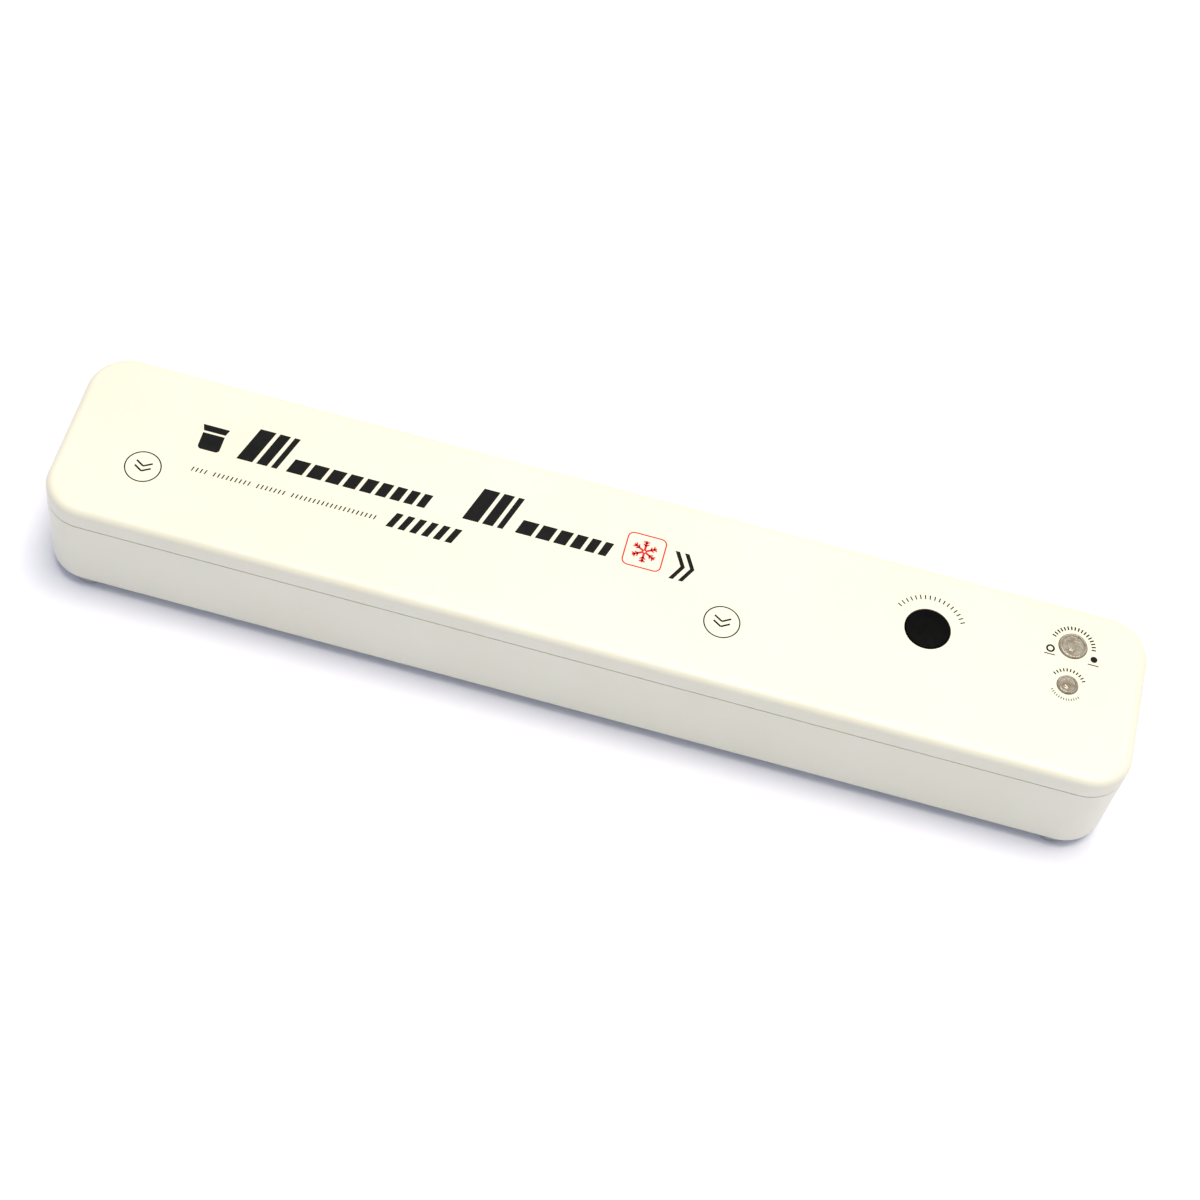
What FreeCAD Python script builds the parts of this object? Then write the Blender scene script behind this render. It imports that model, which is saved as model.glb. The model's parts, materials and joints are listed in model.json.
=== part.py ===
import FreeCAD
import Part
import math
import os

# Countertop vacuum sealer: a long, low housing with a hinged lid that clamps the mouth of a
# food bag, pumps the air out of it and welds it shut with a heated strip.
#
# Frame: origin on the table under the middle of the machine, +X to the controls end, +Y to the
# hinge side, +Z up. All sizes are in millimetres, and the lid is modelled closed.
#
# Each function builds one moulding, fastener group or bought-in item. Sizes that stand alone
# are named below. Whatever fits, seats or lines up with something else is worked out from them.

V = FreeCAD.Vector
X_AXIS = V(1, 0, 0)
Y_AXIS = V(0, 1, 0)

# ---- overall sizes ---------------------------------------------------------------------------
length = 360.0              # along X
depth = 65.0                # along Y
total_height = 44.0         # table to the lid's flat top, without the buttons
foot_proud = 3.0            # feet below the housing
lid_height = 8.1            # lid rim to lid top
seam_gap = 0.4              # shadow line between lid rim and housing rim
corner_radius = 14.0        # plan corners
lid_edge_radius = 3.0       # top edge of the lid
base_edge_radius = 3.5      # bottom edge of the housing
left_end = -length / 2
right_end = length / 2
front_side = -depth / 2
rear_side = depth / 2

# ---- clearances ------------------------------------------------------------------------------
fit_gap = 0.3               # a loose part in its recess
slide_gap = 0.2             # a plunger in its hole
rest_gap = 0.2              # soft faces that meet across the seam, not yet squeezed
running_gap = 0.05          # a shaft in its bore
bond_gap = 0.1              # a glued flange in its opening
stop_gap = 0.05             # a sprung flange below the face that stops it
pilot_gap = 0.5             # pilot hole beyond its screw
head_sink = 0.1             # a screw head below the face around it

# ---- walls -----------------------------------------------------------------------------------
base_wall = 2.2
deck_thickness = 2.5
rim_height = 1.5            # housing rim above the deck
lid_wall = 2.0
lid_skin = 2.0
lid_rear_wall = 3.0
liner_thickness = 2.4
liner_recess = 0.5          # liner face above the lid rim

# ---- hinge -----------------------------------------------------------------------------------
hinge_radius = 3.4          # pivot to the lid's rear face and to the lid rim
hinge_end_inset = 60.0
hinge_stations = (left_end + hinge_end_inset, right_end - hinge_end_inset)
ear_width = 10.0
ear_radius = 3.0
ear_web_rear = 1.0          # rear face of the ear's web, behind the pivot
ear_side_gap = 0.4
lug_width = 5.0
hinge_pin_radius = 1.25
lid_notch_top = 2.2         # top of the lid's rear notch above the pivot

# ---- vacuum chamber and bag seal -------------------------------------------------------------
chamber_left = left_end + 14.0
chamber_right = right_end - 116.0
chamber_front = front_side + 28.5
chamber_rear = rear_side - 18.5
chamber_depth = 8.0
chamber_corner = 6.0
chamber_wall = 1.8
gasket_land = 2.0           # flat between chamber edge and gasket
gasket_width = 5.0
gasket_seat = 1.2           # groove in the deck
gasket_height = 2.3
gasket_crown = 1.0          # rounding of the gasket's top edges
liner_gasket_seat = 1.0
tray_flange = 2 * gasket_land + gasket_width    # chamber edge to the flange's edge
tray_ledge_width = 2.0      # housing ledge that the flange is bonded to
tray_ledge_thickness = 1.0
liner_chamber_depth = 1.2

# ---- heater ----------------------------------------------------------------------------------
heater_y = front_side + 13.0
heater_left = chamber_left
heater_right = chamber_right
heater_bar_width = 9.0
heater_bar_seat = 1.5
heater_bar_proud = 0.8
heater_bar_chamfer = 0.4
ribbon_width = 3.0
ribbon_thickness = 0.2
ribbon_end_gap = 0.5
tape_width = 15.0
tape_thickness = 0.2
tape_end_gap = 0.5
terminal_length = 6.0
terminal_width = 5.0
terminal_overlap = 3.0
terminal_drop = 4.0
terminal_sheet = 0.6
terminal_leg_gap = 0.6      # leg to the bar's end
strip_width = 6.0           # silicone strip in the lid that presses the bag on the heater
strip_seat = 1.2
strip_rib_height = 0.5
strip_ribs = 3
strip_rib_share = 0.6       # of the ribs' pitch
strip_end_gap = 2.0         # strip to the terminals

# ---- controls --------------------------------------------------------------------------------
seal_both_xy = (right_end - 25.1, rear_side - 15.8)     # vacuum-and-seal button
seal_both_radius = 4.65
seal_only_xy = (right_end - 24.8, rear_side - 30.9)     # seal-only button
seal_only_radius = 3.4
button_proud = 0.8
button_stem_radius = 2.5
deck_hole_gap = 0.7                 # deck hole round a stem
button_flange_step = 0.95           # flange beyond the cap
button_flange_thickness = 1.2
button_travel = 1.5
button_tip_drop = 1.4               # stem tip below the liner face
button_edge = 0.5
valve_xy = (right_end - 72.4, rear_side - 23.8)
valve_radius = 7.5
valve_proud = 0.6
valve_edge = 0.6
valve_flange_step = 1.0
valve_flange_thickness = 1.2
valve_stem_radius = 1.6
valve_port_radius = 2.6
valve_seal_radius = 4.2
valve_seal_thickness = 1.0
valve_clip_radius = 3.0
valve_clip_thickness = 0.5
valve_pocket_radius = 5.5
valve_cap_thickness = 1.6
vent_well_radius = 6.0
vent_well_depth = 3.5
vent_gasket_inner = 6.8
vent_gasket_outer = 9.0
vent_gasket_seat = 0.8

# ---- coil springs ----------------------------------------------------------------------------
button_spring_wire = 0.35
button_spring_turns = 2.5
button_spring_mean = 3.4            # mean coil radius
button_spring_pocket = 1.0          # depth of its seat in the liner
valve_spring_wire = 0.5
valve_spring_turns = 3.5
valve_spring_mean = 4.0

# ---- fasteners -------------------------------------------------------------------------------
screw_radius = 1.2
screw_head_radius = 2.5
screw_head_height = 1.1
screw_recess_gap = 0.3
cross_slot_width = 0.6
cross_slot_depth = 0.6
base_screw_length = 10.0            # shanks, under the head
lid_screw_length = 3.1
board_screw_length = 4.0
power_screw_length = 3.6
strap_screw_length = 6.6
base_boss_radius = 3.5
lid_boss_radius = 3.0
base_boss_inset = 10.0              # boss rows from the housing's sides
base_boss_xy = [(left_end + x, side * (depth / 2 - base_boss_inset))
                for x in (32.0, 135.0) for side in (-1, 1)]
base_boss_xy += [(right_end - 102.0, front_side + 11.0), (right_end - 110.0, rear_side - 10.0),
                 (right_end - 28.5, front_side + 10.5), (right_end - 49.0, rear_side - 8.5)]
lid_boss_end = 30.0
lid_boss_count = 4
lid_boss_step = (length - 2 * lid_boss_end) / (lid_boss_count - 1)
lid_boss_xy = [(left_end + lid_boss_end + n * lid_boss_step, y)
               for y in (front_side + 6.0, rear_side - 7.5) for n in range(lid_boss_count)]

# ---- underside -------------------------------------------------------------------------------
cover_half_length = length / 2 - 24.0
cover_thickness = 2.5
cover_inset = 5.0                   # cover edge from the housing's side
cover_corner = 6.0
cover_ledge = 2.3                   # housing ledge over the cover's edge
foot_x = length / 2 - 15.0
foot_y = depth / 2 - 7.5
foot_radius = 6.0
foot_seat = 1.2
foot_edge = 0.8
exhaust_slots = 5
exhaust_slot_size = (18.0, 1.8)
exhaust_slot_pitch = 4.0
exhaust_slots_x = right_end - 80.0
exhaust_slots_y = -2.0              # front end of the slots
label_size = (70.0, 26.0)
label_thickness = 0.25
label_x = -70.0

# ---- pump ------------------------------------------------------------------------------------
pump_y = front_side + 19.0          # motor axis
pump_z = 18.4
motor_radius = 11.5
motor_wall = 0.9
motor_length = 32.0
motor_boss_radius = 3.5
motor_boss_length = 1.5
end_cap_thickness = 2.5
end_cap_plug = 1.5                  # plug inside the can
magnet_thickness = 2.0
magnet_length = 20.0
magnet_inset = 4.0                  # magnets from the can's closed end
magnet_gap_share = 0.6              # gap between the magnets, over their bore
air_gap = 0.6                       # armature to magnets
armature_slots = 5
armature_length = 16.0
armature_slot_width = 1.6
armature_slot_bottom = 4.0          # from the axis
commutator_radius = 2.6
commutator_length = 6.0
shaft_radius = 1.0
shaft_end = 1.0                     # shaft beyond the crank and the end cap
head_left = right_end - 92.0
head_length = 25.0
head_height = 20.0
head_front_reach = 11.0             # motor axis to the head's closed side
head_rear_reach = 11.0              # motor axis to the diaphragm joint
head_wall = 2.0                     # crankcase wall towards the motor
head_corner = 2.0
crankcase_radius = 7.5
cylinder_radius = 6.0               # bore from the crankcase to the diaphragm
eccentric_radius = 3.0
eccentric_offset = 1.2
eccentric_length = 5.0
weight_thickness = 2.0
weight_gap = 1.2                    # counterweight to the crankcase bore
weight_flat = 1.4                   # its flat, from the axis
rod_thickness = 3.0
rod_ring = 1.3                      # wall of the big end
rod_eye_gap = 0.3
rod_width = 4.0
diaphragm_thickness = 1.5
diaphragm_ridge_radius = 5.4
diaphragm_ridge = 1.0
diaphragm_hub = 1.6
valve_cover_thickness = 6.0
pump_inlet_z = pump_z + 2.1
pump_outlet_z = pump_z - 5.9
strap_thickness = 1.1
strap_width = 10.0
strap_along = 15.0                  # motor's left end to the middle of the strap
strap_drop = 5.4                    # motor axis down to the strap's feet
strap_foot_end = 2.4                # foot beyond the screw
strap_boss_radius = 2.4
post_radius = 2.6

# ---- air line --------------------------------------------------------------------------------
hose_outer = 3.0
hose_inner = 1.9
nozzle_x = chamber_right - 8.0
nozzle_flange_radius = 3.3
nozzle_flange_height = 1.5
nozzle_stem_radius = 2.4
nozzle_bore_radius = 1.1
barb_length = 7.0
hose_grip = 5.0                     # barb inside the hose

# ---- electronics -----------------------------------------------------------------------------
board_thickness = 1.5
control_board_x = (right_end - 43.0, right_end - 8.0)
control_board_y = (rear_side - 34.5, rear_side - 5.5)
control_board_drop = 4.0            # deck to the board
board_pillar_radius = 2.4
board_pillars = [(control_board_x[0] + 3.5, control_board_y[1] - 3.5),
                 (control_board_x[0] + 3.5, control_board_y[0] + 3.8),
                 (control_board_x[1] - 4.0, control_board_y[1] - 4.5),
                 (control_board_x[1] - 3.5, control_board_y[0] + 4.0)]
switch_side = 6.0
switch_height = 3.5
switch_cap_radius = 1.75
switch_free_gap = 0.3               # pressed stem tip above the switch cap
led_radius = 1.0
led_height = 1.6
led_offset = 4.6
relay_size = (10.0, 15.0, 11.0)
relay_corner = (control_board_x[1] - 16.5, control_board_y[0] + 2.0)
power_board_x = (right_end - 104.0, right_end - 58.0)
power_board_gap = 1.0               # pump to the board
power_board_rear = rear_side - 5.5
power_board_lift = 3.0
transformer_size = (20.0, 10.5, 15.0)
transformer_leg = 3.5               # outer legs of the core
transformer_yoke = 3.0              # its top and bottom
transformer_post = 5.0              # its middle leg
coil_gap = 0.3                      # coil to the core
coil_corner = 1.5
capacitor_radius = 4.0
capacitor_height = 13.0
inlet_x = right_end - 27.0
inlet_z = 16.0
inlet_width = 19.0
inlet_height = 12.0
inlet_depth = 14.0
inlet_sink = 0.6                    # its face below the housing's rear face
inlet_collar = 1.8                  # wall of the collar that holds it
inlet_collar_depth = 8.0
inlet_corner = 0.8
inlet_cavity = (15.0, 8.0, 10.5)
inlet_pin_radius = 1.2
inlet_pin_pitch = 8.6
inlet_pin_sink = 1.5                # pin tips below the inlet's face
inlet_pin_tail = 2.5                # pins behind the inlet
lead_radius = 0.7
lead_y = heater_y + 5.5
lead_spacing = 2.5
lead_drop = 6.0                     # deck to the left lead
lead_cross_z = 14.5                 # height at which the leads pass under the hoses

# ---- levels that follow ----------------------------------------------------------------------
lid_top = total_height
lid_bottom = lid_top - lid_height
skin_under = lid_top - lid_skin
rim_top = lid_bottom - seam_gap
deck_top = rim_top - rim_height
deck_under = deck_top - deck_thickness
base_bottom = foot_proud
cover_top = base_bottom + cover_thickness
liner_face = lid_bottom + liner_recess
liner_top = liner_face + liner_thickness
chamber_floor = deck_top - chamber_depth
pivot_y = depth / 2 - hinge_radius
pivot_z = lid_bottom + hinge_radius
gasket_top = deck_top - gasket_seat + gasket_height
heater_bar_top = deck_top + heater_bar_proud
ribbon_top = heater_bar_top + ribbon_thickness
tape_top = ribbon_top + tape_thickness
button_cap_top = lid_top + button_proud
button_tip = liner_face - button_tip_drop
head_right = head_left + head_length
head_front = pump_y - head_front_reach
head_rear = pump_y + head_rear_reach
suction_y = head_rear + diaphragm_thickness + valve_cover_thickness / 2
magnet_inner = motor_radius - motor_wall - magnet_thickness
armature_radius = magnet_inner - air_gap
strap_x = head_right + strap_along
strap_reach = motor_radius + fit_gap + strap_boss_radius
strap_foot_top = pump_z - strap_drop
control_board_top = deck_under - control_board_drop
lead_z = deck_under - lead_drop
power_board_z = cover_top + power_board_lift
power_board_top = power_board_z + board_thickness
power_board_y = (suction_y + valve_cover_thickness / 2 + power_board_gap, power_board_rear)
power_board_posts = [(power_board_x[0] + 4.0, power_board_y[1] - 4.5),
                     (power_board_x[1] - 3.5, power_board_y[0] + 3.5),
                     (power_board_x[1] - 3.5, power_board_y[1] - 4.5)]
transformer_xy = (power_board_x[0] + 19.0, power_board_y[1] - 9.0)
capacitor_xy = (power_board_x[1] - 9.0, power_board_y[1] - 10.5)
lead_pads = [(power_board_x[0] + 3.0, power_board_y[0] + y) for y in (3.0, 6.5)]
motor_end = head_right + motor_length
inner_half_depth = depth / 2 - base_wall
head_depth = screw_head_height + head_sink      # recess for a screw head
inlet_face = depth / 2 - inlet_sink
inlet_back = depth / 2 - inlet_depth


# ---- shape helpers ---------------------------------------------------------------------------
def block(x, y, z):
    """Box between two X, two Y and two Z values."""
    return Part.makeBox(x[1] - x[0], y[1] - y[0], z[1] - z[0], V(x[0], y[0], z[0]))


def rod(radius, start, end):
    """Cylinder between two points."""
    start, end = V(*start), V(*end)
    return Part.makeCylinder(radius, (end - start).Length, start, end - start)


def disc(radius, xy, z):
    return rod(radius, (*xy, z[0]), (*xy, z[1]))


def slab(x, y, z, radius):
    """Box with its four upright edges rounded."""
    shape = block(x, y, z)
    if radius <= 0:
        return shape
    upright = [e for e in shape.Edges if abs(e.tangentAt(e.FirstParameter).z) > 0.9]
    return shape.makeFillet(radius, upright)


def inset_slab(inset, z, radius=corner_radius):
    """Slab that follows the machine's outline, moved in by inset."""
    x, y = length / 2 - inset, depth / 2 - inset
    return slab((-x, x), (-y, y), z, radius - inset)


def edges_at(shape, z, tolerance=1e-4):
    """Edges that lie wholly at height z."""
    return [e for e in shape.Edges
            if abs(e.BoundBox.ZMin - z) < tolerance and abs(e.BoundBox.ZMax - z) < tolerance]


def join(*shapes):
    result = shapes[0].multiFuse(list(shapes[1:])) if len(shapes) > 1 else shapes[0]
    return result.removeSplitter()


def around_chamber(grow, z):
    """Block that follows the vacuum chamber's outline, grown outwards."""
    return slab((chamber_left - grow, chamber_right + grow),
                (chamber_front - grow, chamber_rear + grow), z, chamber_corner + grow)


def loop_band(grow_inner, grow_outer, z):
    """Closed band round the vacuum chamber, between two offsets from its edge."""
    return around_chamber(grow_outer, z).cut(around_chamber(grow_inner, z))


def coil(wire_radius, mean_radius, turns, xy, z):
    """Compression spring between two heights."""
    rise = z[1] - z[0] - 2 * wire_radius
    path = Part.Wire(Part.makeHelix(rise / turns, rise, mean_radius).Edges)
    ring = Part.Wire(Part.makeCircle(wire_radius, V(mean_radius, 0, 0), Y_AXIS))
    spring = path.makePipeShell([ring], True, True)
    spring.translate(V(*xy, z[0] + wire_radius))
    return spring


def swept_tube(points, radius, bend_share=0.45):
    """Solid tube along straight runs joined by tangent arcs, each as large as its runs allow."""
    points = [V(*p) for p in points]
    edges, last = [], points[0]
    for before, corner, after in zip(points, points[1:], points[2:]):
        into, out = (corner - before), (after - corner)
        half_turn = into.getAngle(out) / 2
        setback = bend_share * min(into.Length, out.Length)
        into.normalize()
        out.normalize()
        start, end = corner - into * setback, corner + out * setback
        inward = (out - into).normalize()
        bend = setback / math.tan(half_turn)
        centre = corner + inward * (bend / math.cos(half_turn))
        middle = centre - inward * bend
        edges += [Part.LineSegment(last, start).toShape(), Part.Arc(start, middle, end).toShape()]
        last = end
    edges.append(Part.LineSegment(last, points[-1]).toShape())
    path = Part.Wire(edges)
    ring = Part.Wire(Part.makeCircle(radius, points[0], points[1] - points[0]))
    return path.makePipeShell([ring], True, False)


def screw(xy, z_head, direction, shank_length):
    """Pan-head screw with a cross recess. z_head is the plane under the head, and direction is
    +1 for a screw driven upwards."""
    shank = rod(screw_radius, (*xy, z_head), (*xy, z_head + direction * shank_length))
    head_end = z_head - direction * screw_head_height
    head = rod(screw_head_radius, (*xy, z_head), (*xy, head_end))
    rim = [e for e in edges_at(head, head_end) if e.Closed]
    head = head.makeFillet(screw_head_height * 0.4, rim)
    reach = screw_head_radius * 0.6
    low, high = sorted((head_end, head_end + direction * cross_slot_depth))
    slots = [block((xy[0] - a, xy[0] + a), (xy[1] - b, xy[1] + b), (low, high))
             for a, b in ((reach, cross_slot_width / 2), (cross_slot_width / 2, reach))]
    return join(shank, head).cut(slots[0]).cut(slots[1])


def about_pivot(radius, x):
    """Cylinder on the hinge axis."""
    return rod(radius, (x[0], pivot_y, pivot_z), (x[1], pivot_y, pivot_z))


def pivot_block(x, y, z):
    """Box given by offsets from the hinge axis."""
    return block(x, (pivot_y + y[0], pivot_y + y[1]), (pivot_z + z[0], pivot_z + z[1]))


# ---- housing ---------------------------------------------------------------------------------
def housing_body():
    """Outer walls, deck, bottom flange and the ledge for the vacuum tray, without its details."""
    outer = inset_slab(0, (base_bottom, rim_top))
    outer = outer.makeFillet(base_edge_radius, edges_at(outer, base_bottom))
    ledge = loop_band(tray_flange - tray_ledge_width, tray_flange + tray_ledge_width,
                      (deck_under - tray_ledge_thickness, deck_under))
    hollow = inset_slab(base_wall, (cover_top + cover_ledge, deck_under)).cut(ledge)
    recess = inset_slab(base_wall, (deck_top, rim_top + 1))
    cover_x = cover_half_length + fit_gap
    cover_y = depth / 2 - cover_inset + fit_gap
    seat = slab((-cover_x, cover_x), (-cover_y, cover_y), (base_bottom - 1, cover_top),
                cover_corner + fit_gap)
    mouth = slab((-cover_x + cover_ledge, cover_x - cover_ledge),
                 (-cover_y + cover_ledge, cover_y - cover_ledge),
                 (cover_top, cover_top + cover_ledge), cover_corner - cover_ledge)
    tray_seat = around_chamber(tray_flange + bond_gap, (deck_under, deck_top + 1))
    return outer.cut(Part.makeCompound([hollow, recess, seat, mouth, tray_seat]))


def nozzle_places():
    """Where the chamber's floor is pierced, for the suction and for the vent."""
    return [(nozzle_x, suction_y), (nozzle_x, valve_xy[1])]


def vacuum_tray():
    """Walls of the vacuum chamber: a ring that hangs from its flange, which carries the gasket."""
    ring = around_chamber(chamber_wall, (chamber_floor, deck_top))
    flange = around_chamber(tray_flange, (deck_under, deck_top))
    cuts = [around_chamber(0, (chamber_floor - 1, deck_top + 1)),
            loop_band(gasket_land, gasket_land + gasket_width, (deck_top - gasket_seat, deck_top + 1))]
    return join(ring, flange).cut(Part.makeCompound(cuts))


def vacuum_tray_floor():
    """Floor of the vacuum chamber, welded under the ring, with one hole for each nipple."""
    plate = around_chamber(chamber_wall, (chamber_floor - chamber_wall, chamber_floor))
    stems = [disc(nozzle_stem_radius, xy, (chamber_floor - chamber_wall - 1, chamber_floor + 1))
             for xy in nozzle_places()]
    return plate.cut(Part.makeCompound(stems))


def hinge_ear(station):
    """Upright knuckle on the deck, round about the hinge pin."""
    x = (station - ear_width / 2, station + ear_width / 2)
    foot = deck_top - pivot_z
    web = pivot_block(x, (-ear_radius, ear_web_rear), (foot, 0))
    root = block(x, (pivot_y - ear_radius, inner_half_depth + 0.5), (deck_top, rim_top))
    return join(about_pivot(ear_radius, x), web, root)


def base_housing():
    shape = housing_body()
    added = [hinge_ear(station) for station in hinge_stations]
    added += [disc(base_boss_radius, xy, (cover_top, deck_under)) for xy in base_boss_xy]
    added += [disc(board_pillar_radius, xy, (control_board_top, deck_under))
              for xy in board_pillars]
    added.append(disc(vent_well_radius + chamber_wall, valve_xy,
                      (deck_top - vent_well_depth - chamber_wall, deck_under)))
    added.append(inlet_surround())
    added += strap_bosses()
    shape = join(shape, *added)

    holes = [about_pivot(hinge_pin_radius + running_gap,
                         (station - ear_width, station + ear_width))
             for station in hinge_stations]
    pilot_end = base_bottom + head_depth + base_screw_length + pilot_gap
    holes += [disc(screw_radius, xy, (cover_top, pilot_end)) for xy in base_boss_xy]
    pilot_end = control_board_top - board_thickness + board_screw_length + pilot_gap
    holes += [disc(screw_radius, xy, (control_board_top, pilot_end)) for xy in board_pillars]
    holes.append(disc(vent_well_radius, valve_xy, (deck_top - vent_well_depth, deck_top + 1)))
    holes.append(disc(nozzle_stem_radius, valve_xy,
                      (deck_top - vent_well_depth - chamber_wall - 1, deck_top)))
    holes.append(disc(vent_gasket_outer, valve_xy, (deck_top - vent_gasket_seat, deck_top + 1))
                 .cut(disc(vent_gasket_inner, valve_xy,
                           (deck_top - vent_gasket_seat, deck_top + 1))))
    holes += [disc(button_stem_radius + deck_hole_gap, xy, (deck_under - 1, deck_top + 1))
              for xy in (seal_both_xy, seal_only_xy)]
    holes.append(heater_groove())
    holes += terminal_slots()
    holes += [disc(foot_radius + fit_gap / 2, (sx * foot_x, sy * foot_y),
                   (base_bottom - 1, base_bottom + foot_seat))
              for sx in (-1, 1) for sy in (-1, 1)]
    holes.append(inlet_opening(fit_gap / 3))
    pilot_end = strap_foot_top - strap_thickness + strap_screw_length + pilot_gap
    holes += [disc(screw_radius, xy, (strap_foot_top, pilot_end)) for xy in strap_screw_xy()]
    return shape.cut(Part.makeCompound(holes))


def bottom_cover():
    y = depth / 2 - cover_inset
    shape = slab((-cover_half_length, cover_half_length), (-y, y), (base_bottom, cover_top),
                 cover_corner)
    cuts = []
    head = screw_head_radius + screw_recess_gap
    for xy in base_boss_xy:
        cuts.append(disc(screw_radius + fit_gap / 2, xy, (base_bottom - 1, cover_top + 1)))
        cuts.append(disc(head, xy, (base_bottom - 1, base_bottom + head_depth)))
    slot_length, slot_width = exhaust_slot_size
    for n in range(exhaust_slots):
        x = exhaust_slots_x + (n - (exhaust_slots - 1) / 2) * exhaust_slot_pitch
        cuts.append(slab((x - slot_width / 2, x + slot_width / 2),
                         (exhaust_slots_y, exhaust_slots_y + slot_length),
                         (base_bottom - 1, cover_top + 1), slot_width * 0.49))
    cuts.append(label_plate(fit_gap / 2, (base_bottom - 1, base_bottom + label_thickness)))
    shape = shape.cut(Part.makeCompound(cuts))
    shape = join(shape, *[disc(post_radius, xy, (cover_top, power_board_z))
                          for xy in power_board_posts])
    pilot_end = power_board_top - power_screw_length - pilot_gap
    pilots = [disc(screw_radius, xy, (pilot_end, power_board_z)) for xy in power_board_posts]
    return shape.cut(Part.makeCompound(pilots))


def label_plate(grow, z):
    x, y = label_size[0] / 2 + grow, label_size[1] / 2 + grow
    return slab((label_x - x, label_x + x), (-y, y), z, 2.0 + grow)


def rating_label():
    """Blank self-adhesive label, flush in the bottom cover."""
    return label_plate(0, (base_bottom, base_bottom + label_thickness))


def rubber_feet():
    feet = []
    for sx in (-1, 1):
        for sy in (-1, 1):
            foot = disc(foot_radius, (sx * foot_x, sy * foot_y), (0, base_bottom + foot_seat))
            feet.append(foot.makeFillet(foot_edge, [e for e in edges_at(foot, 0) if e.Closed]))
    return Part.makeCompound(feet)


def base_screws():
    under_head = base_bottom + head_depth
    return Part.makeCompound([screw(xy, under_head, 1, base_screw_length) for xy in base_boss_xy])


# ---- seals in the housing --------------------------------------------------------------------
def lower_gasket():
    ring = loop_band(gasket_land, gasket_land + gasket_width,
                     (deck_top - gasket_seat, gasket_top))
    return ring.makeFillet(gasket_crown, edges_at(ring, gasket_top))


def vent_gasket():
    top = liner_face - rest_gap
    z = (deck_top - vent_gasket_seat, top)
    ring = disc(vent_gasket_outer, valve_xy, z).cut(disc(vent_gasket_inner, valve_xy, z))
    return ring.makeFillet(0.5, edges_at(ring, top))


# ---- heater ----------------------------------------------------------------------------------
def heater_groove():
    half = heater_bar_width / 2 + fit_gap / 2
    return slab((heater_left - fit_gap / 2, heater_right + fit_gap / 2),
                (heater_y - half, heater_y + half),
                (deck_top - heater_bar_seat, deck_top + 1), 0)


def terminal_x(side):
    """X range of the clamp at the left (-1) or right (+1) end of the heater."""
    end = heater_left if side < 0 else heater_right
    inner, outer = end - side * terminal_overlap, end + side * (terminal_length - terminal_overlap)
    return min(inner, outer), max(inner, outer)


def terminal_leg_x(side):
    """X range of the clamp's leg, which goes down through the deck past the bar's end."""
    end = heater_left if side < 0 else heater_right
    near = end + side * terminal_leg_gap
    far = end + side * (terminal_length - terminal_overlap)
    return min(near, far), max(near, far)


def terminal_slots():
    slots = []
    for side in (-1, 1):
        x = terminal_leg_x(side)
        half = terminal_width / 2 + fit_gap / 2
        slots.append(block((x[0] - fit_gap / 2, x[1] + fit_gap / 2),
                           (heater_y - half, heater_y + half), (deck_under - 1, deck_top + 1)))
    return slots


def heater_bar():
    """Heat-proof laminate bar under the heating ribbon."""
    half = heater_bar_width / 2
    bar = slab((heater_left, heater_right), (heater_y - half, heater_y + half),
               (deck_top - heater_bar_seat, heater_bar_top), 0)
    long_edges = [e for e in edges_at(bar, heater_bar_top)
                  if abs(e.tangentAt(e.FirstParameter).x) > 0.9]
    return bar.makeChamfer(heater_bar_chamfer, long_edges)


def heating_ribbon():
    half = ribbon_width / 2
    return block((heater_left + ribbon_end_gap, heater_right - ribbon_end_gap),
                 (heater_y - half, heater_y + half), (heater_bar_top, ribbon_top))


def release_tape():
    """Glass-cloth release tape laid over the ribbon, the bar and the deck beside it."""
    wide, bar, ribbon = tape_width / 2, heater_bar_width / 2, ribbon_width / 2
    profile = [(-wide, deck_top), (-bar - heater_bar_chamfer, deck_top),
               (-bar + heater_bar_chamfer, heater_bar_top),
               (-ribbon - tape_thickness, heater_bar_top), (-ribbon, ribbon_top)]
    lower = [V(0, heater_y + y, z) for y, z in profile]
    lower += [V(0, heater_y - y, z) for y, z in reversed(profile)]
    upper = [V(p.x, p.y, p.z + tape_thickness) for p in reversed(lower)]
    outline = Part.makePolygon(lower + upper + lower[:1])
    start = heater_left + terminal_overlap + tape_end_gap
    outline.translate(V(start, 0, 0))
    reach = heater_right - terminal_overlap - tape_end_gap - start
    return Part.Face(outline).extrude(V(reach, 0, 0))


def heater_terminal(side):
    """Brass clamp that holds one end of the ribbon and carries its lead below the deck."""
    half = terminal_width / 2
    x = terminal_x(side)
    leg = terminal_leg_x(side)
    top = ribbon_top + terminal_sheet
    plate = block(x, (heater_y - half, heater_y + half), (ribbon_top, top))
    stem = block(leg, (heater_y - half, heater_y + half), (deck_under - terminal_drop, top))
    return join(plate, stem)


def heater_lead(side):
    """Insulated wire from a terminal to the power board, under the hoses."""
    x = sum(terminal_leg_x(side)) / 2
    z = deck_under - terminal_drop / 2
    start = (x, heater_y + terminal_width / 2, z)
    if side < 0:
        pad_x, pad_y = lead_pads[0]
        drop_x = pad_x - 6.0
        way = [(x, lead_y, z), (x, lead_y, lead_z), (drop_x, lead_y, lead_z),
               (drop_x, lead_y, lead_cross_z)]
    else:
        pad_x, pad_y = lead_pads[1]
        drop_x = x
        way = [(x, lead_y + lead_spacing, z), (x, lead_y + lead_spacing, lead_cross_z)]
    points = [start, *way, (drop_x, pad_y, lead_cross_z), (pad_x, pad_y, lead_cross_z),
              (pad_x, pad_y, power_board_top)]
    return swept_tube(points, lead_radius, 0.3)


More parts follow.
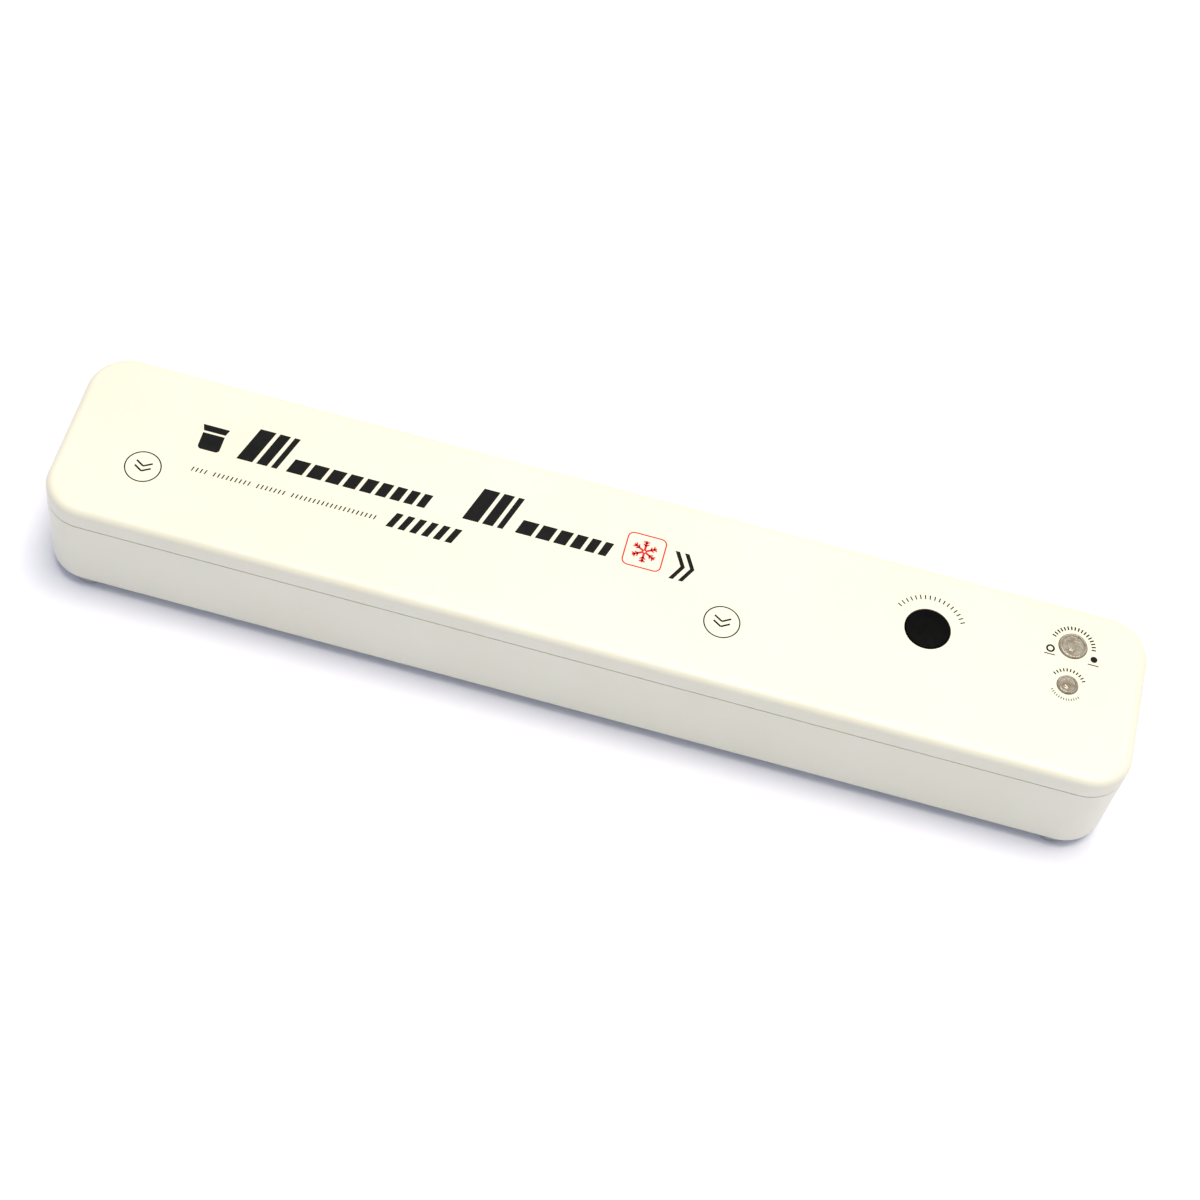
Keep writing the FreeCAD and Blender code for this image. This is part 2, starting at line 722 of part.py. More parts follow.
# ---- air line --------------------------------------------------------------------------------
def chamber_elbow(xy):
    """Nipple with a flange on the chamber's floor, a stem through it and a barb towards +X."""
    x, y = xy
    top = chamber_floor + nozzle_flange_height
    barb_end = x + nozzle_stem_radius + barb_length
    stem = disc(nozzle_stem_radius, xy, (pump_inlet_z - hose_inner, top))
    barb = rod(hose_inner, (x, y, pump_inlet_z), (barb_end, y, pump_inlet_z))
    flange = disc(nozzle_flange_radius, xy, (chamber_floor, top))
    shape = join(stem, barb, flange)
    bore = join(disc(nozzle_bore_radius, xy, (pump_inlet_z, top + 1)),
                rod(nozzle_bore_radius, (x, y, pump_inlet_z), (barb_end + 1, y, pump_inlet_z)))
    return shape.cut(bore)


def suction_nozzle():
    return chamber_elbow(nozzle_places()[0])


def vent_nozzle():
    return chamber_elbow(nozzle_places()[1])


def vent_elbow():
    """Fitting under the releasing valve's well, with its barb towards the chamber."""
    x, y = valve_xy
    barb_end = x - nozzle_stem_radius - barb_length
    top = deck_top - vent_well_depth
    shape = join(disc(nozzle_stem_radius, valve_xy, (pump_inlet_z - hose_inner, top)),
                 rod(hose_inner, (x, y, pump_inlet_z), (barb_end, y, pump_inlet_z)))
    bore = join(disc(nozzle_bore_radius, valve_xy, (pump_inlet_z, top + 1)),
                rod(nozzle_bore_radius, (x, y, pump_inlet_z), (barb_end - 1, y, pump_inlet_z)))
    return shape.cut(bore)


def hose(y, end_x):
    """Silicone hose pushed over a barb at each end."""
    x = (nozzle_x + nozzle_stem_radius + barb_length - hose_grip, end_x)
    ends = [(x[0], y, pump_inlet_z), (x[1], y, pump_inlet_z)]
    return rod(hose_outer, *ends).cut(rod(hose_inner, *ends))


def suction_hose():
    return hose(suction_y, head_left - barb_length + hose_grip)


def vent_hose():
    return hose(valve_xy[1], valve_xy[0] - nozzle_stem_radius - barb_length + hose_grip)


# ---- pump ------------------------------------------------------------------------------------
def on_axis(x):
    """Point on the motor's axis."""
    return x, pump_y, pump_z


def head_block(y):
    z = (pump_z - head_height / 2, pump_z + head_height / 2)
    shape = block((head_left, head_right), y, z)
    along = [e for e in shape.Edges if abs(e.tangentAt(e.FirstParameter).y) > 0.9]
    return shape.makeFillet(head_corner, along)


def crank_x():
    """X range of the eccentric, inside the crankcase next to the motor."""
    middle = head_left + head_length / 2
    return middle - eccentric_length / 2, middle + eccentric_length / 2


def pump_crankcase():
    shape = head_block((head_front, head_rear))
    middle = head_left + head_length / 2
    bore_x = (middle - crankcase_radius, head_right - head_wall)
    well = rod(crankcase_radius, (bore_x[0], pump_y, pump_z), (bore_x[1], pump_y, pump_z))
    cylinder = rod(cylinder_radius, (middle, pump_y, pump_z), (middle, head_rear + 1, pump_z))
    shaft = rod(shaft_radius + 0.5, (bore_x[1] - 1, pump_y, pump_z), (head_right + 1, pump_y, pump_z))
    return shape.cut(well).cut(cylinder).cut(shaft)


def pump_diaphragm():
    """Moulded rubber diaphragm, clamped round its edge, with a hub for the rod."""
    shape = head_block((head_rear, head_rear + diaphragm_thickness))
    middle = head_left + head_length / 2
    ridge = rod(diaphragm_ridge_radius, (middle, head_rear, pump_z),
                (middle, head_rear - diaphragm_ridge, pump_z))
    hub = rod(rod_width / 2, (middle, head_rear, pump_z), (middle, head_rear - diaphragm_hub, pump_z))
    return join(shape, hub, ridge)


def pump_valve_cover():
    """Valve chest on the diaphragm, with its inlet and outlet nipples towards the chamber."""
    front = head_rear + diaphragm_thickness
    shape = head_block((front, front + valve_cover_thickness))
    for z in (pump_inlet_z, pump_outlet_z):
        tip, root = (head_left - barb_length, suction_y, z), (head_left + 1, suction_y, z)
        shape = join(shape, rod(hose_inner, tip, root))
        shape = shape.cut(rod(nozzle_bore_radius, tip, root))
    return shape


def pump_connecting_rod():
    """Rod from the crank to the diaphragm. Its big end clears the eccentric all the way round."""
    middle = head_left + head_length / 2
    x = (middle - rod_thickness / 2, middle + rod_thickness / 2)
    eye = eccentric_radius + eccentric_offset + rod_eye_gap
    big_end = rod(eye + rod_ring, (x[0], pump_y, pump_z), (x[1], pump_y, pump_z))
    arm = block(x, (pump_y, head_rear - diaphragm_hub), (pump_z - rod_width / 2, pump_z + rod_width / 2))
    return join(big_end, arm).cut(rod(eye, (x[0] - 1, pump_y, pump_z), (x[1] + 1, pump_y, pump_z)))


def motor_can():
    """Deep-drawn steel can, open towards the end cap."""
    can = rod(motor_radius, on_axis(head_right), on_axis(motor_end))
    hollow = rod(motor_radius - motor_wall, on_axis(head_right + motor_wall), on_axis(motor_end + 1))
    boss = rod(motor_boss_radius, on_axis(head_right),
               on_axis(head_right + motor_boss_length + motor_wall))
    bore = rod(shaft_radius + running_gap, on_axis(head_right - 1),
               on_axis(head_right + motor_boss_length + motor_wall + 1))
    return join(can.cut(hollow), boss).cut(bore)


def motor_end_cap():
    plug_end = motor_end - end_cap_plug
    plug = rod(motor_radius - motor_wall, on_axis(plug_end), on_axis(motor_end))
    plate = rod(motor_radius, on_axis(motor_end), on_axis(motor_end + end_cap_thickness))
    bore = rod(shaft_radius + running_gap, on_axis(plug_end - 1),
               on_axis(motor_end + end_cap_thickness + 1))
    return join(plug, plate).cut(bore)


def motor_magnets():
    """Two arc magnets bonded inside the can."""
    start = head_right + motor_wall + magnet_inset
    ring = rod(motor_radius - motor_wall, on_axis(start), on_axis(start + magnet_length))
    ring = ring.cut(rod(magnet_inner, on_axis(start - 1), on_axis(start + magnet_length + 1)))
    half_gap = magnet_inner * magnet_gap_share
    gap = block((start - 1, start + magnet_length + 1), (pump_y - motor_radius, pump_y + motor_radius),
                (pump_z - half_gap, pump_z + half_gap))
    return Part.makeCompound(ring.cut(gap).Solids)


def armature():
    """Slotted iron core and commutator on the motor shaft."""
    start = head_right + motor_wall + magnet_inset + (magnet_length - armature_length) / 2
    core = rod(armature_radius, on_axis(start), on_axis(start + armature_length))
    for n in range(armature_slots):
        slot = block((start - 1, start + armature_length + 1),
                     (pump_y + armature_slot_bottom, pump_y + armature_radius + 1),
                     (pump_z - armature_slot_width / 2, pump_z + armature_slot_width / 2))
        slot.rotate(V(0, pump_y, pump_z), X_AXIS, n * 360.0 / armature_slots)
        core = core.cut(slot)
    end = start + armature_length
    commutator = rod(commutator_radius, on_axis(end), on_axis(end + commutator_length))
    bore = rod(shaft_radius, on_axis(start - 1), on_axis(end + commutator_length + 1))
    return join(core, commutator).cut(bore)


def pump_shaft():
    return rod(shaft_radius, on_axis(crank_x()[0] - shaft_end),
               on_axis(motor_end + end_cap_thickness + shaft_end))


def eccentric_hub():
    """Crank on the shaft's end: a disc set off the axis, with a flat counterweight behind it."""
    x = crank_x()
    centre = pump_y + eccentric_offset
    hub = rod(eccentric_radius, (x[0], centre, pump_z), (x[1], centre, pump_z))
    radius = crankcase_radius - weight_gap
    weight = rod(radius, on_axis(x[1]), on_axis(x[1] + weight_thickness))
    weight = weight.cut(block((x[1], x[1] + weight_thickness),
                              (pump_y + weight_flat, pump_y + radius + 1),
                              (pump_z - radius, pump_z + radius)))
    bore = rod(shaft_radius, on_axis(x[0] - 1), on_axis(x[1] + weight_thickness + 1))
    return join(hub, weight).cut(bore)


def strap_screw_xy():
    return [(strap_x, pump_y - strap_reach), (strap_x, pump_y + strap_reach)]


def strap_bosses():
    """Bosses hanging from the deck beside the motor, the front one joined to the wall."""
    z = (strap_foot_top, deck_under)
    bosses = [disc(strap_boss_radius, xy, z) for xy in strap_screw_xy()]
    x = (strap_x - strap_boss_radius, strap_x + strap_boss_radius)
    return bosses + [block(x, (-inner_half_depth - 0.5, pump_y - strap_reach), z)]


def motor_strap():
    """Sheet-steel strap that holds the motor up between the two bosses."""
    x = (strap_x - strap_width / 2, strap_x + strap_width / 2)
    band = rod(motor_radius + strap_thickness, (x[0], pump_y, pump_z), (x[1], pump_y, pump_z))
    reach = strap_reach + strap_foot_end
    above = block(x, (pump_y - reach, pump_y + reach), (strap_foot_top, total_height))
    feet = block(x, (pump_y - reach, pump_y + reach),
                 (strap_foot_top - strap_thickness, strap_foot_top))
    motor = rod(motor_radius, (x[0] - 1, pump_y, pump_z), (x[1] + 1, pump_y, pump_z))
    shape = join(band.cut(above), feet).cut(motor)
    for xy in strap_screw_xy():
        shape = shape.cut(disc(screw_radius, xy, (0, total_height)))
    return shape


def strap_screws():
    under_head = strap_foot_top - strap_thickness
    return Part.makeCompound([screw(xy, under_head, 1, strap_screw_length)
                              for xy in strap_screw_xy()])


# ---- electronics -----------------------------------------------------------------------------
def control_board():
    board = slab(control_board_x, control_board_y,
                 (control_board_top - board_thickness, control_board_top), 1.5)
    for xy in board_pillars:
        board = board.cut(disc(screw_radius, xy, (0, control_board_top + 1)))
    return board


def board_screws():
    under = control_board_top - board_thickness
    return Part.makeCompound([screw(xy, under, 1, board_screw_length) for xy in board_pillars])


def push_switches():
    """Two tact switches under the lid's buttons, each a body with its round cap."""
    cap_top = button_tip - button_travel - switch_free_gap
    switches = []
    for x, y in (seal_both_xy, seal_only_xy):
        half = switch_side / 2
        body = slab((x - half, x + half), (y - half, y + half),
                    (control_board_top, control_board_top + switch_height), 0.4)
        cap = disc(switch_cap_radius, (x, y), (control_board_top + switch_height, cap_top))
        switches.append(join(body, cap))
    return Part.makeCompound(switches)


def indicator_leds():
    """Light-emitting diodes beside each switch, which shine up through the clear buttons."""
    leds = []
    for x, y in (seal_both_xy, seal_only_xy):
        for side in (-1, 1):
            leds.append(disc(led_radius, (x + side * led_offset, y),
                             (control_board_top, control_board_top + led_height)))
    return Part.makeCompound(leds)


def relay():
    under = control_board_top - board_thickness
    x, y = relay_corner
    return slab((x, x + relay_size[0]), (y, y + relay_size[1]), (under - relay_size[2], under), 0.6)


def power_board():
    board = slab(power_board_x, power_board_y, (power_board_z, power_board_top), 1.5)
    for xy in power_board_posts:
        board = board.cut(disc(screw_radius, xy, (0, power_board_top + 1)))
    return board


def power_board_screws():
    return Part.makeCompound([screw(xy, power_board_top, -1, power_screw_length)
                              for xy in power_board_posts])


def transformer():
    """Ferrite-cored transformer: core halves round a wound bobbin."""
    w, d, h = transformer_size
    x, y = transformer_xy
    z = (power_board_top, power_board_top + h)
    core = block((x - w / 2, x + w / 2), (y - d / 2, y + d / 2), z)
    half = w / 2 - transformer_leg
    window = block((x - half, x + half), (y - d / 2, y + d / 2),
                   (z[0] + transformer_yoke, z[1] - transformer_yoke))
    return join(core.cut(window), transformer_middle(z))


def transformer_middle(z):
    """Middle leg of the transformer's core, between two heights."""
    x, y = transformer_xy
    half, d = transformer_post / 2, transformer_size[1]
    return block((x - half, x + half), (y - d / 2, y + d / 2), z)


def transformer_coil():
    w, d, h = transformer_size
    x, y = transformer_xy
    half = w / 2 - transformer_leg - coil_gap
    inset = transformer_yoke + coil_gap
    z = (power_board_top + inset, power_board_top + h - inset)
    winding = slab((x - half, x + half), (y - d / 2, y + d / 2), z, coil_corner)
    return winding.cut(transformer_middle(z))


def capacitor():
    z = power_board_top
    can = disc(capacitor_radius, capacitor_xy, (z, z + capacitor_height))
    return can.makeFillet(0.6, [e for e in edges_at(can, z + capacitor_height) if e.Closed])


def inlet_body():
    w, h = inlet_width / 2, inlet_height / 2
    return block((inlet_x - w, inlet_x + w), (inlet_back, inlet_face), (inlet_z - h, inlet_z + h))


def inlet_opening(grow):
    """Hole through the rear wall for the mains inlet."""
    w, h = inlet_width / 2 + grow, inlet_height / 2 + grow
    return block((inlet_x - w, inlet_x + w), (inlet_back - 1, depth / 2 + 1),
                 (inlet_z - h, inlet_z + h))


def inlet_surround():
    """Collar inside the rear wall that the inlet slides into."""
    w, h = inlet_width / 2 + inlet_collar, inlet_height / 2 + inlet_collar
    return block((inlet_x - w, inlet_x + w), (depth / 2 - inlet_collar_depth, inner_half_depth + 0.5),
                 (inlet_z - h, inlet_z + h))


def power_inlet():
    """Two-pole appliance inlet, with its figure-of-eight socket facing the rear."""
    w, h, deep = inlet_cavity
    shell = inlet_body()
    upright = [e for e in shell.Edges if abs(e.tangentAt(e.FirstParameter).y) > 0.9]
    shell = shell.makeFillet(inlet_corner, upright)
    y = (inlet_face - deep, inlet_face + 1)
    lobe_x = (inlet_x - (w - h) / 2, inlet_x + (w - h) / 2)
    lobes = [rod(h / 2, (x, y[0], inlet_z), (x, y[1], inlet_z)) for x in lobe_x]
    waist = block(lobe_x, y, (inlet_z - h / 2, inlet_z + h / 2))
    shell = shell.cut(join(lobes[0], lobes[1], waist))
    for side in (-1, 1):
        x = inlet_x + side * inlet_pin_pitch / 2
        shell = shell.cut(rod(inlet_pin_radius, (x, 0, inlet_z), (x, inlet_face, inlet_z)))
    return shell


def inlet_pins():
    tip_y = inlet_face - inlet_pin_sink
    pins = []
    for side in (-1, 1):
        x = inlet_x + side * inlet_pin_pitch / 2
        pin = rod(inlet_pin_radius, (x, inlet_back - inlet_pin_tail, inlet_z), (x, tip_y, inlet_z))
        tip = [e for e in pin.Edges if e.Closed and abs(e.BoundBox.YMin - tip_y) < 1e-4]
        pins.append(pin.makeFillet(0.5, tip))
    return Part.makeCompound(pins)


# ---- lid -------------------------------------------------------------------------------------
def lid_blank():
    """Lid cover's outside, with its lower rear edge turned about the hinge axis."""
    outer = inset_slab(0, (lid_bottom, lid_top))
    outer = outer.makeFillet(lid_edge_radius, edges_at(outer, lid_top))
    reach = (-length / 2 - 1, length / 2 + 1)
    corner = pivot_block(reach, (0, hinge_radius + 1), (-hinge_radius - 1, 0))
    return outer.cut(corner.cut(about_pivot(hinge_radius, reach)))


def hinge_lugs(station):
    """Pair of lugs inside the lid, one each side of the housing's ear."""
    lugs = []
    for side in (-1, 1):
        near = station + side * (ear_width / 2 + ear_side_gap)
        far = near + side * lug_width
        x = (min(near, far), max(near, far))
        root = pivot_block(x, (-ear_radius, hinge_radius - 0.5), (0, skin_under - pivot_z + 0.5))
        lugs.append(join(about_pivot(ear_radius, x), root))
    return lugs


def hinge_notch(station):
    """Room in the lid for the ear, open at the rear face."""
    half = ear_width / 2 + ear_side_gap
    x = (station - half, station + half)
    pocket = about_pivot(ear_radius + fit_gap, x)
    rear = pivot_block(x, (0, hinge_radius + 1), (-hinge_radius - 1, lid_notch_top))
    below = pivot_block(x, (-ear_radius - fit_gap, hinge_radius + 1), (-hinge_radius - 1, 0))
    return join(pocket, rear, below)


def lid_cover():
    outer = lid_blank()
    x = length / 2 - lid_wall
    y_rear = depth / 2 - lid_rear_wall
    cavity = slab((-x, x), (-depth / 2 + lid_wall, y_rear), (lid_bottom - 1, skin_under),
                  corner_radius - lid_wall)
    shape = outer.cut(cavity)
    bosses = [disc(lid_boss_radius, xy, (liner_top, skin_under)) for xy in lid_boss_xy]
    lugs = [lug.common(outer) for station in hinge_stations for lug in hinge_lugs(station)]
    shape = join(shape, *bosses, *lugs)
    pilot_end = liner_face + head_depth + lid_screw_length + pilot_gap
    cuts = [disc(screw_radius, xy, (liner_top, pilot_end)) for xy in lid_boss_xy]
    for station in hinge_stations:
        cuts.append(hinge_notch(station))
        half = pin_half_length()
        cuts.append(about_pivot(hinge_pin_radius, (station - half, station + half)))
    for xy, radius in ((seal_both_xy, seal_both_radius), (seal_only_xy, seal_only_radius),
                       (valve_xy, valve_radius)):
        cuts.append(disc(radius + slide_gap, xy, (liner_top, lid_top + 1)))
    return shape.cut(Part.makeCompound(cuts))


def pin_half_length():
    return ear_width / 2 + ear_side_gap + lug_width


def hinge_pins():
    half = pin_half_length()
    return Part.makeCompound([about_pivot(hinge_pin_radius, (station - half, station + half))
                              for station in hinge_stations])


def strip_x():
    inset = terminal_overlap + strip_end_gap
    return heater_left + inset, heater_right - inset


def lid_liner():
    """Inner panel of the lid, which carries the gasket, the pressing strip and the plungers."""
    inset = lid_wall + fit_gap
    x = length / 2 - inset
    y_rear = depth / 2 - lid_rear_wall - fit_gap
    shape = slab((-x, x), (-depth / 2 + inset, y_rear), (liner_face, liner_top),
                 corner_radius - inset)
    cuts = []
    for station in hinge_stations:
        half = pin_half_length() + fit_gap
        cuts.append(pivot_block((station - half, station + half),
                                (-ear_radius - 2 * fit_gap, hinge_radius), (-10, 10)))
    cuts.append(loop_band(gasket_land, gasket_land + gasket_width,
                          (liner_face - 1, liner_face + liner_gasket_seat)))
    cuts.append(around_chamber(0, (liner_face - 1, liner_face + liner_chamber_depth)))
    half = strip_width / 2
    ends = strip_x()
    cuts.append(block(ends, (heater_y - half, heater_y + half),
                      (liner_face - 1, liner_face + strip_seat)))
    head = screw_head_radius + screw_recess_gap
    for xy in lid_boss_xy:
        cuts.append(disc(screw_radius + fit_gap / 2, xy, (liner_face - 1, liner_top + 1)))
        cuts.append(disc(head, xy, (liner_face - 1, liner_face + head_depth)))
    for xy, radius in ((seal_both_xy, seal_both_radius), (seal_only_xy, seal_only_radius)):
        cuts.append(disc(button_stem_radius + slide_gap, xy, (liner_face - 1, liner_top + 1)))
        pocket = button_spring_mean + button_spring_wire + fit_gap
        cuts.append(disc(pocket, xy, (liner_top - button_spring_pocket, liner_top + 1)))
    cuts.append(disc(valve_port_radius, valve_xy, (liner_face - 1, liner_top + 1)))
    return shape.cut(Part.makeCompound(cuts))


def upper_gasket():
    z = (gasket_top + rest_gap, liner_face + liner_gasket_seat)
    ring = loop_band(gasket_land, gasket_land + gasket_width, z)
    return ring.makeFillet(gasket_crown, edges_at(ring, z[0]))


def pressing_strip():
    """Silicone strip with fine ribs along its working face."""
    ends = strip_x()
    half = strip_width / 2
    face = tape_top + rest_gap
    body = block(ends, (heater_y - half, heater_y + half),
                 (face + strip_rib_height, liner_face + strip_seat))
    pitch = strip_width / strip_ribs
    ribs = []
    for n in range(strip_ribs):
        y = heater_y - half + (n + 0.5) * pitch
        reach = pitch * strip_rib_share / 2
        ribs.append(block(ends, (y - reach, y + reach), (face, face + strip_rib_height)))
    return join(body, *ribs)


def lid_screws():
    under_head = liner_face + head_depth
    return Part.makeCompound([screw(xy, under_head, 1, lid_screw_length) for xy in lid_boss_xy])


# ---- controls in the lid ---------------------------------------------------------------------
def plunger(xy, radius):
    """Clear button: domed cap, stop flange and a stem that doubles as a light guide."""
    flange_top = skin_under - stop_gap
    flange_low = flange_top - button_flange_thickness
    cap = disc(radius, xy, (flange_low, button_cap_top))
    cap = cap.makeFillet(button_edge, [e for e in edges_at(cap, button_cap_top) if e.Closed])
    flange = disc(radius + button_flange_step, xy, (flange_low, flange_top))
    stem = disc(button_stem_radius, xy, (button_tip, flange_low))
    return join(cap, flange, stem)


def button_spring(xy):
    low = liner_top - button_spring_pocket
    high = skin_under - stop_gap - button_flange_thickness
    return coil(button_spring_wire / 2, button_spring_mean, button_spring_turns, xy, (low, high))


def valve_flange_low():
    return skin_under - stop_gap - valve_flange_thickness


def valve_pocket_top():
    return lid_top + valve_proud - valve_cap_thickness


def valve_button():
    """Black cap and stem of the releasing valve, hollow under the cap for its spring."""
    low = valve_flange_low()
    top = lid_top + valve_proud
    cap = disc(valve_radius, valve_xy, (low, top))
    cap = cap.makeFillet(valve_edge, [e for e in edges_at(cap, top) if e.Closed])
    flange = disc(valve_radius + valve_flange_step, valve_xy, (low, skin_under - stop_gap))
    body = join(cap, flange).cut(disc(valve_pocket_radius, valve_xy, (low - 1, valve_pocket_top())))
    stem_end = liner_face - stop_gap - valve_seal_thickness - valve_clip_thickness - 0.1
    return join(body, disc(valve_stem_radius, valve_xy, (stem_end, top - 0.8)))


def valve_seal():
    """Silicone washer that the spring holds up against the liner's port."""
    top = liner_face - stop_gap
    z = (top - valve_seal_thickness, top)
    return disc(valve_seal_radius, valve_xy, z).cut(disc(valve_stem_radius, valve_xy, z))


def valve_clip():
    """Push-on retaining clip under the washer."""
    top = liner_face - stop_gap - valve_seal_thickness
    z = (top - valve_clip_thickness, top)
    clip = disc(valve_clip_radius, valve_xy, z).cut(disc(valve_stem_radius, valve_xy, z))
    x, y = valve_xy
    return clip.cut(block((x - 0.8, x + 0.8), (y, y + valve_clip_radius + 1), (z[0] - 1, z[1] + 1)))


def valve_spring():
    return coil(valve_spring_wire / 2, valve_spring_mean, valve_spring_turns, valve_xy,
                (liner_top, valve_pocket_top()))


# ---- export ----------------------------------------------------------------------------------
nodes = {
    "base_housing": base_housing,
    "vacuum_tray": vacuum_tray,
    "vacuum_tray_floor": vacuum_tray_floor,
    "bottom_cover": bottom_cover,
    "rating_label": rating_label,
    "rubber_feet": rubber_feet,
    "bottom_cover_screws": base_screws,
    "lower_gasket": lower_gasket,
    "vent_port_gasket": vent_gasket,
    "heater_bar": heater_bar,
    "heating_ribbon": heating_ribbon,
    "release_tape": release_tape,
    "heater_terminal_left": lambda: heater_terminal(-1),
    "heater_terminal_right": lambda: heater_terminal(1),
    "heater_lead_left": lambda: heater_lead(-1),
    "heater_lead_right": lambda: heater_lead(1),
    "suction_nozzle": suction_nozzle,
    "vent_nozzle": vent_nozzle,
    "vent_elbow": vent_elbow,
    "suction_hose": suction_hose,
    "vent_hose": vent_hose,
    "pump_crankcase": pump_crankcase,
    "pump_diaphragm": pump_diaphragm,
    "pump_valve_cover": pump_valve_cover,
    "pump_connecting_rod": pump_connecting_rod,
    "pump_motor_can": motor_can,
    "pump_motor_end_cap": motor_end_cap,
    "pump_motor_magnets": motor_magnets,
    "pump_motor_strap": motor_strap,
    "pump_strap_screws": strap_screws,
    "pump_shaft": pump_shaft,
    "pump_armature": armature,
    "pump_eccentric": eccentric_hub,
    "control_board": control_board,
    "control_board_screws": board_screws,
    "push_switches": push_switches,
    "indicator_leds": indicator_leds,
    "motor_relay": relay,
    "power_board": power_board,
    "power_board_screws": power_board_screws,
    "transformer_core": transformer,
    "transformer_coil": transformer_coil,
    "capacitor": capacitor,
    "power_inlet": power_inlet,
    "power_inlet_pins": inlet_pins,
    "lid_cover": lid_cover,
    "lid_liner": lid_liner,
    "upper_gasket": upper_gasket,
    "pressing_strip": pressing_strip,
    "lid_screws": lid_screws,
    "hinge_pins": hinge_pins,
    "vacuum_seal_button": lambda: plunger(seal_both_xy, seal_both_radius),
    "vacuum_seal_button_spring": lambda: button_spring(seal_both_xy),
    "seal_only_button": lambda: plunger(seal_only_xy, seal_only_radius),
    "seal_only_button_spring": lambda: button_spring(seal_only_xy),
    "releasing_valve_button": valve_button,
    "releasing_valve_seal": valve_seal,
    "releasing_valve_clip": valve_clip,
    "releasing_valve_spring": valve_spring,
}

os.makedirs("parts", exist_ok=True)
for name, build in nodes.items():
    shape = build()
    box = shape.BoundBox
    print(f"{name:26s} solids {len(shape.Solids)} valid {shape.isValid()} "
          f"volume {shape.Volume:9.1f} "
          f"x {box.XMin:.2f}..{box.XMax:.2f} y {box.YMin:.2f}..{box.YMax:.2f} "
          f"z {box.ZMin:.2f}..{box.ZMax:.2f}")
    shape.exportStep(f"parts/{name}.step")
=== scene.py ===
import json
import math

import bmesh
import bpy
from mathutils import Matrix, Vector


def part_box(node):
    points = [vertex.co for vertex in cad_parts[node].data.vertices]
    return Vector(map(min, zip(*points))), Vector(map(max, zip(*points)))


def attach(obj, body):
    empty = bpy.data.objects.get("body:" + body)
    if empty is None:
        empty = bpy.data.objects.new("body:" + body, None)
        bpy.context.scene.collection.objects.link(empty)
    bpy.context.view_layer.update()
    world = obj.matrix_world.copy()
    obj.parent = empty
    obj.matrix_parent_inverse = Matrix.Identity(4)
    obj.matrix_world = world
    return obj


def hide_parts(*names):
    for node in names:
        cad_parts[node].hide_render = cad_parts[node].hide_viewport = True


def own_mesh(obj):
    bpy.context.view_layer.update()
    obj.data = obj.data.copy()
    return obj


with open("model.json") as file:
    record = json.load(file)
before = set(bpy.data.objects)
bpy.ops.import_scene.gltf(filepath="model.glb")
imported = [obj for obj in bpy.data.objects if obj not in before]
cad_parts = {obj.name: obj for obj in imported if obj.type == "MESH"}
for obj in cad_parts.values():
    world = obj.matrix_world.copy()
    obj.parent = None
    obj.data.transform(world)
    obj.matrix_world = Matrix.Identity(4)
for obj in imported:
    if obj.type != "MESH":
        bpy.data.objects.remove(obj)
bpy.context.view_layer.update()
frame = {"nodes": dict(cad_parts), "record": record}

mm = 0.001
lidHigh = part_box("lid_cover")[1]
lidTop = lidHigh.z / mm      # flat top of the lid, which carries the print
print("frame loaded:", len(frame["nodes"]), "nodes")


# camera, light and floor, in degrees and millimetres; the lamps' places and sizes are in metres
camera = {
    "azimuth": 3.97, "elevation": 57.24, "roll": 11.60,
    "distance": 849.3, "target": (2.19, -0.87, 25.0), "lens": 77.3, "sensor": 36.0,
    "nearest": 10.0,
}
studio = {
    "domeColour": "DAE4FF", "domeStrength": 0.42,
    "keyColour": "FFF6E4", "keyPower": 74.5, "keySize": 1.6, "keyPlace": (0.25, 0.25, 2.4),
    "fillColour": "F7F4FF", "fillPower": 0.9, "fillSize": 1.4, "fillPlace": (0.7, -1.3, 0.7),
    "floorSize": 8.0, "floorColour": "F3F5FF", "floorRoughness": 0.95,
}


def linearColour(hexColour, alpha=1.0):
    parts = [int(hexColour[i:i + 2], 16) / 255 for i in (0, 2, 4)]
    return [c / 12.92 if c <= 0.04045 else ((c + 0.055) / 1.055) ** 2.4 for c in parts] + [alpha]


# adds one node: inputs gives a socket its value or another node's output, the rest are settings
def addNode(mat, kind, inputs=None, **settings):
    node = mat.node_tree.nodes.new("ShaderNode" + kind)
    for key, value in settings.items():
        setattr(node, key, value)
    for key, value in (inputs or {}).items():
        if isinstance(value, bpy.types.NodeSocket):
            mat.node_tree.links.new(value, node.inputs[key])
        else:
            node.inputs[key].default_value = value
    return node


def makeCamera(facts):
    lens = bpy.data.cameras.new("studioCamera")
    lens.lens, lens.sensor_width, lens.clip_start = facts["lens"], facts["sensor"], facts["nearest"] * mm
    eye = bpy.data.objects.new("studioCamera", lens)
    bpy.context.scene.collection.objects.link(eye)
    az, el = math.radians(facts["azimuth"]), math.radians(facts["elevation"])
    away = Vector((math.sin(az) * math.cos(el), -math.cos(az) * math.cos(el), math.sin(el)))
    eye.location = (Vector(facts["target"]) + away * facts["distance"]) * mm
    aim = (-away).to_track_quat("-Z", "Y").to_matrix().to_4x4()
    eye.rotation_euler = (aim @ Matrix.Rotation(math.radians(facts["roll"]), 4, "Z")).to_euler()
    bpy.context.scene.camera = eye


def makeLight(name, colour, power, size, place, target=(0, 0, 0)):
    lamp = bpy.data.lights.new(name, "AREA")
    lamp.energy, lamp.size = power, size
    lamp.color = linearColour(colour)[:3]
    holder = bpy.data.objects.new(name, lamp)
    bpy.context.scene.collection.objects.link(holder)
    holder.location = place
    holder.rotation_euler = (Vector(target) - Vector(place)).to_track_quat("-Z", "Y").to_euler()


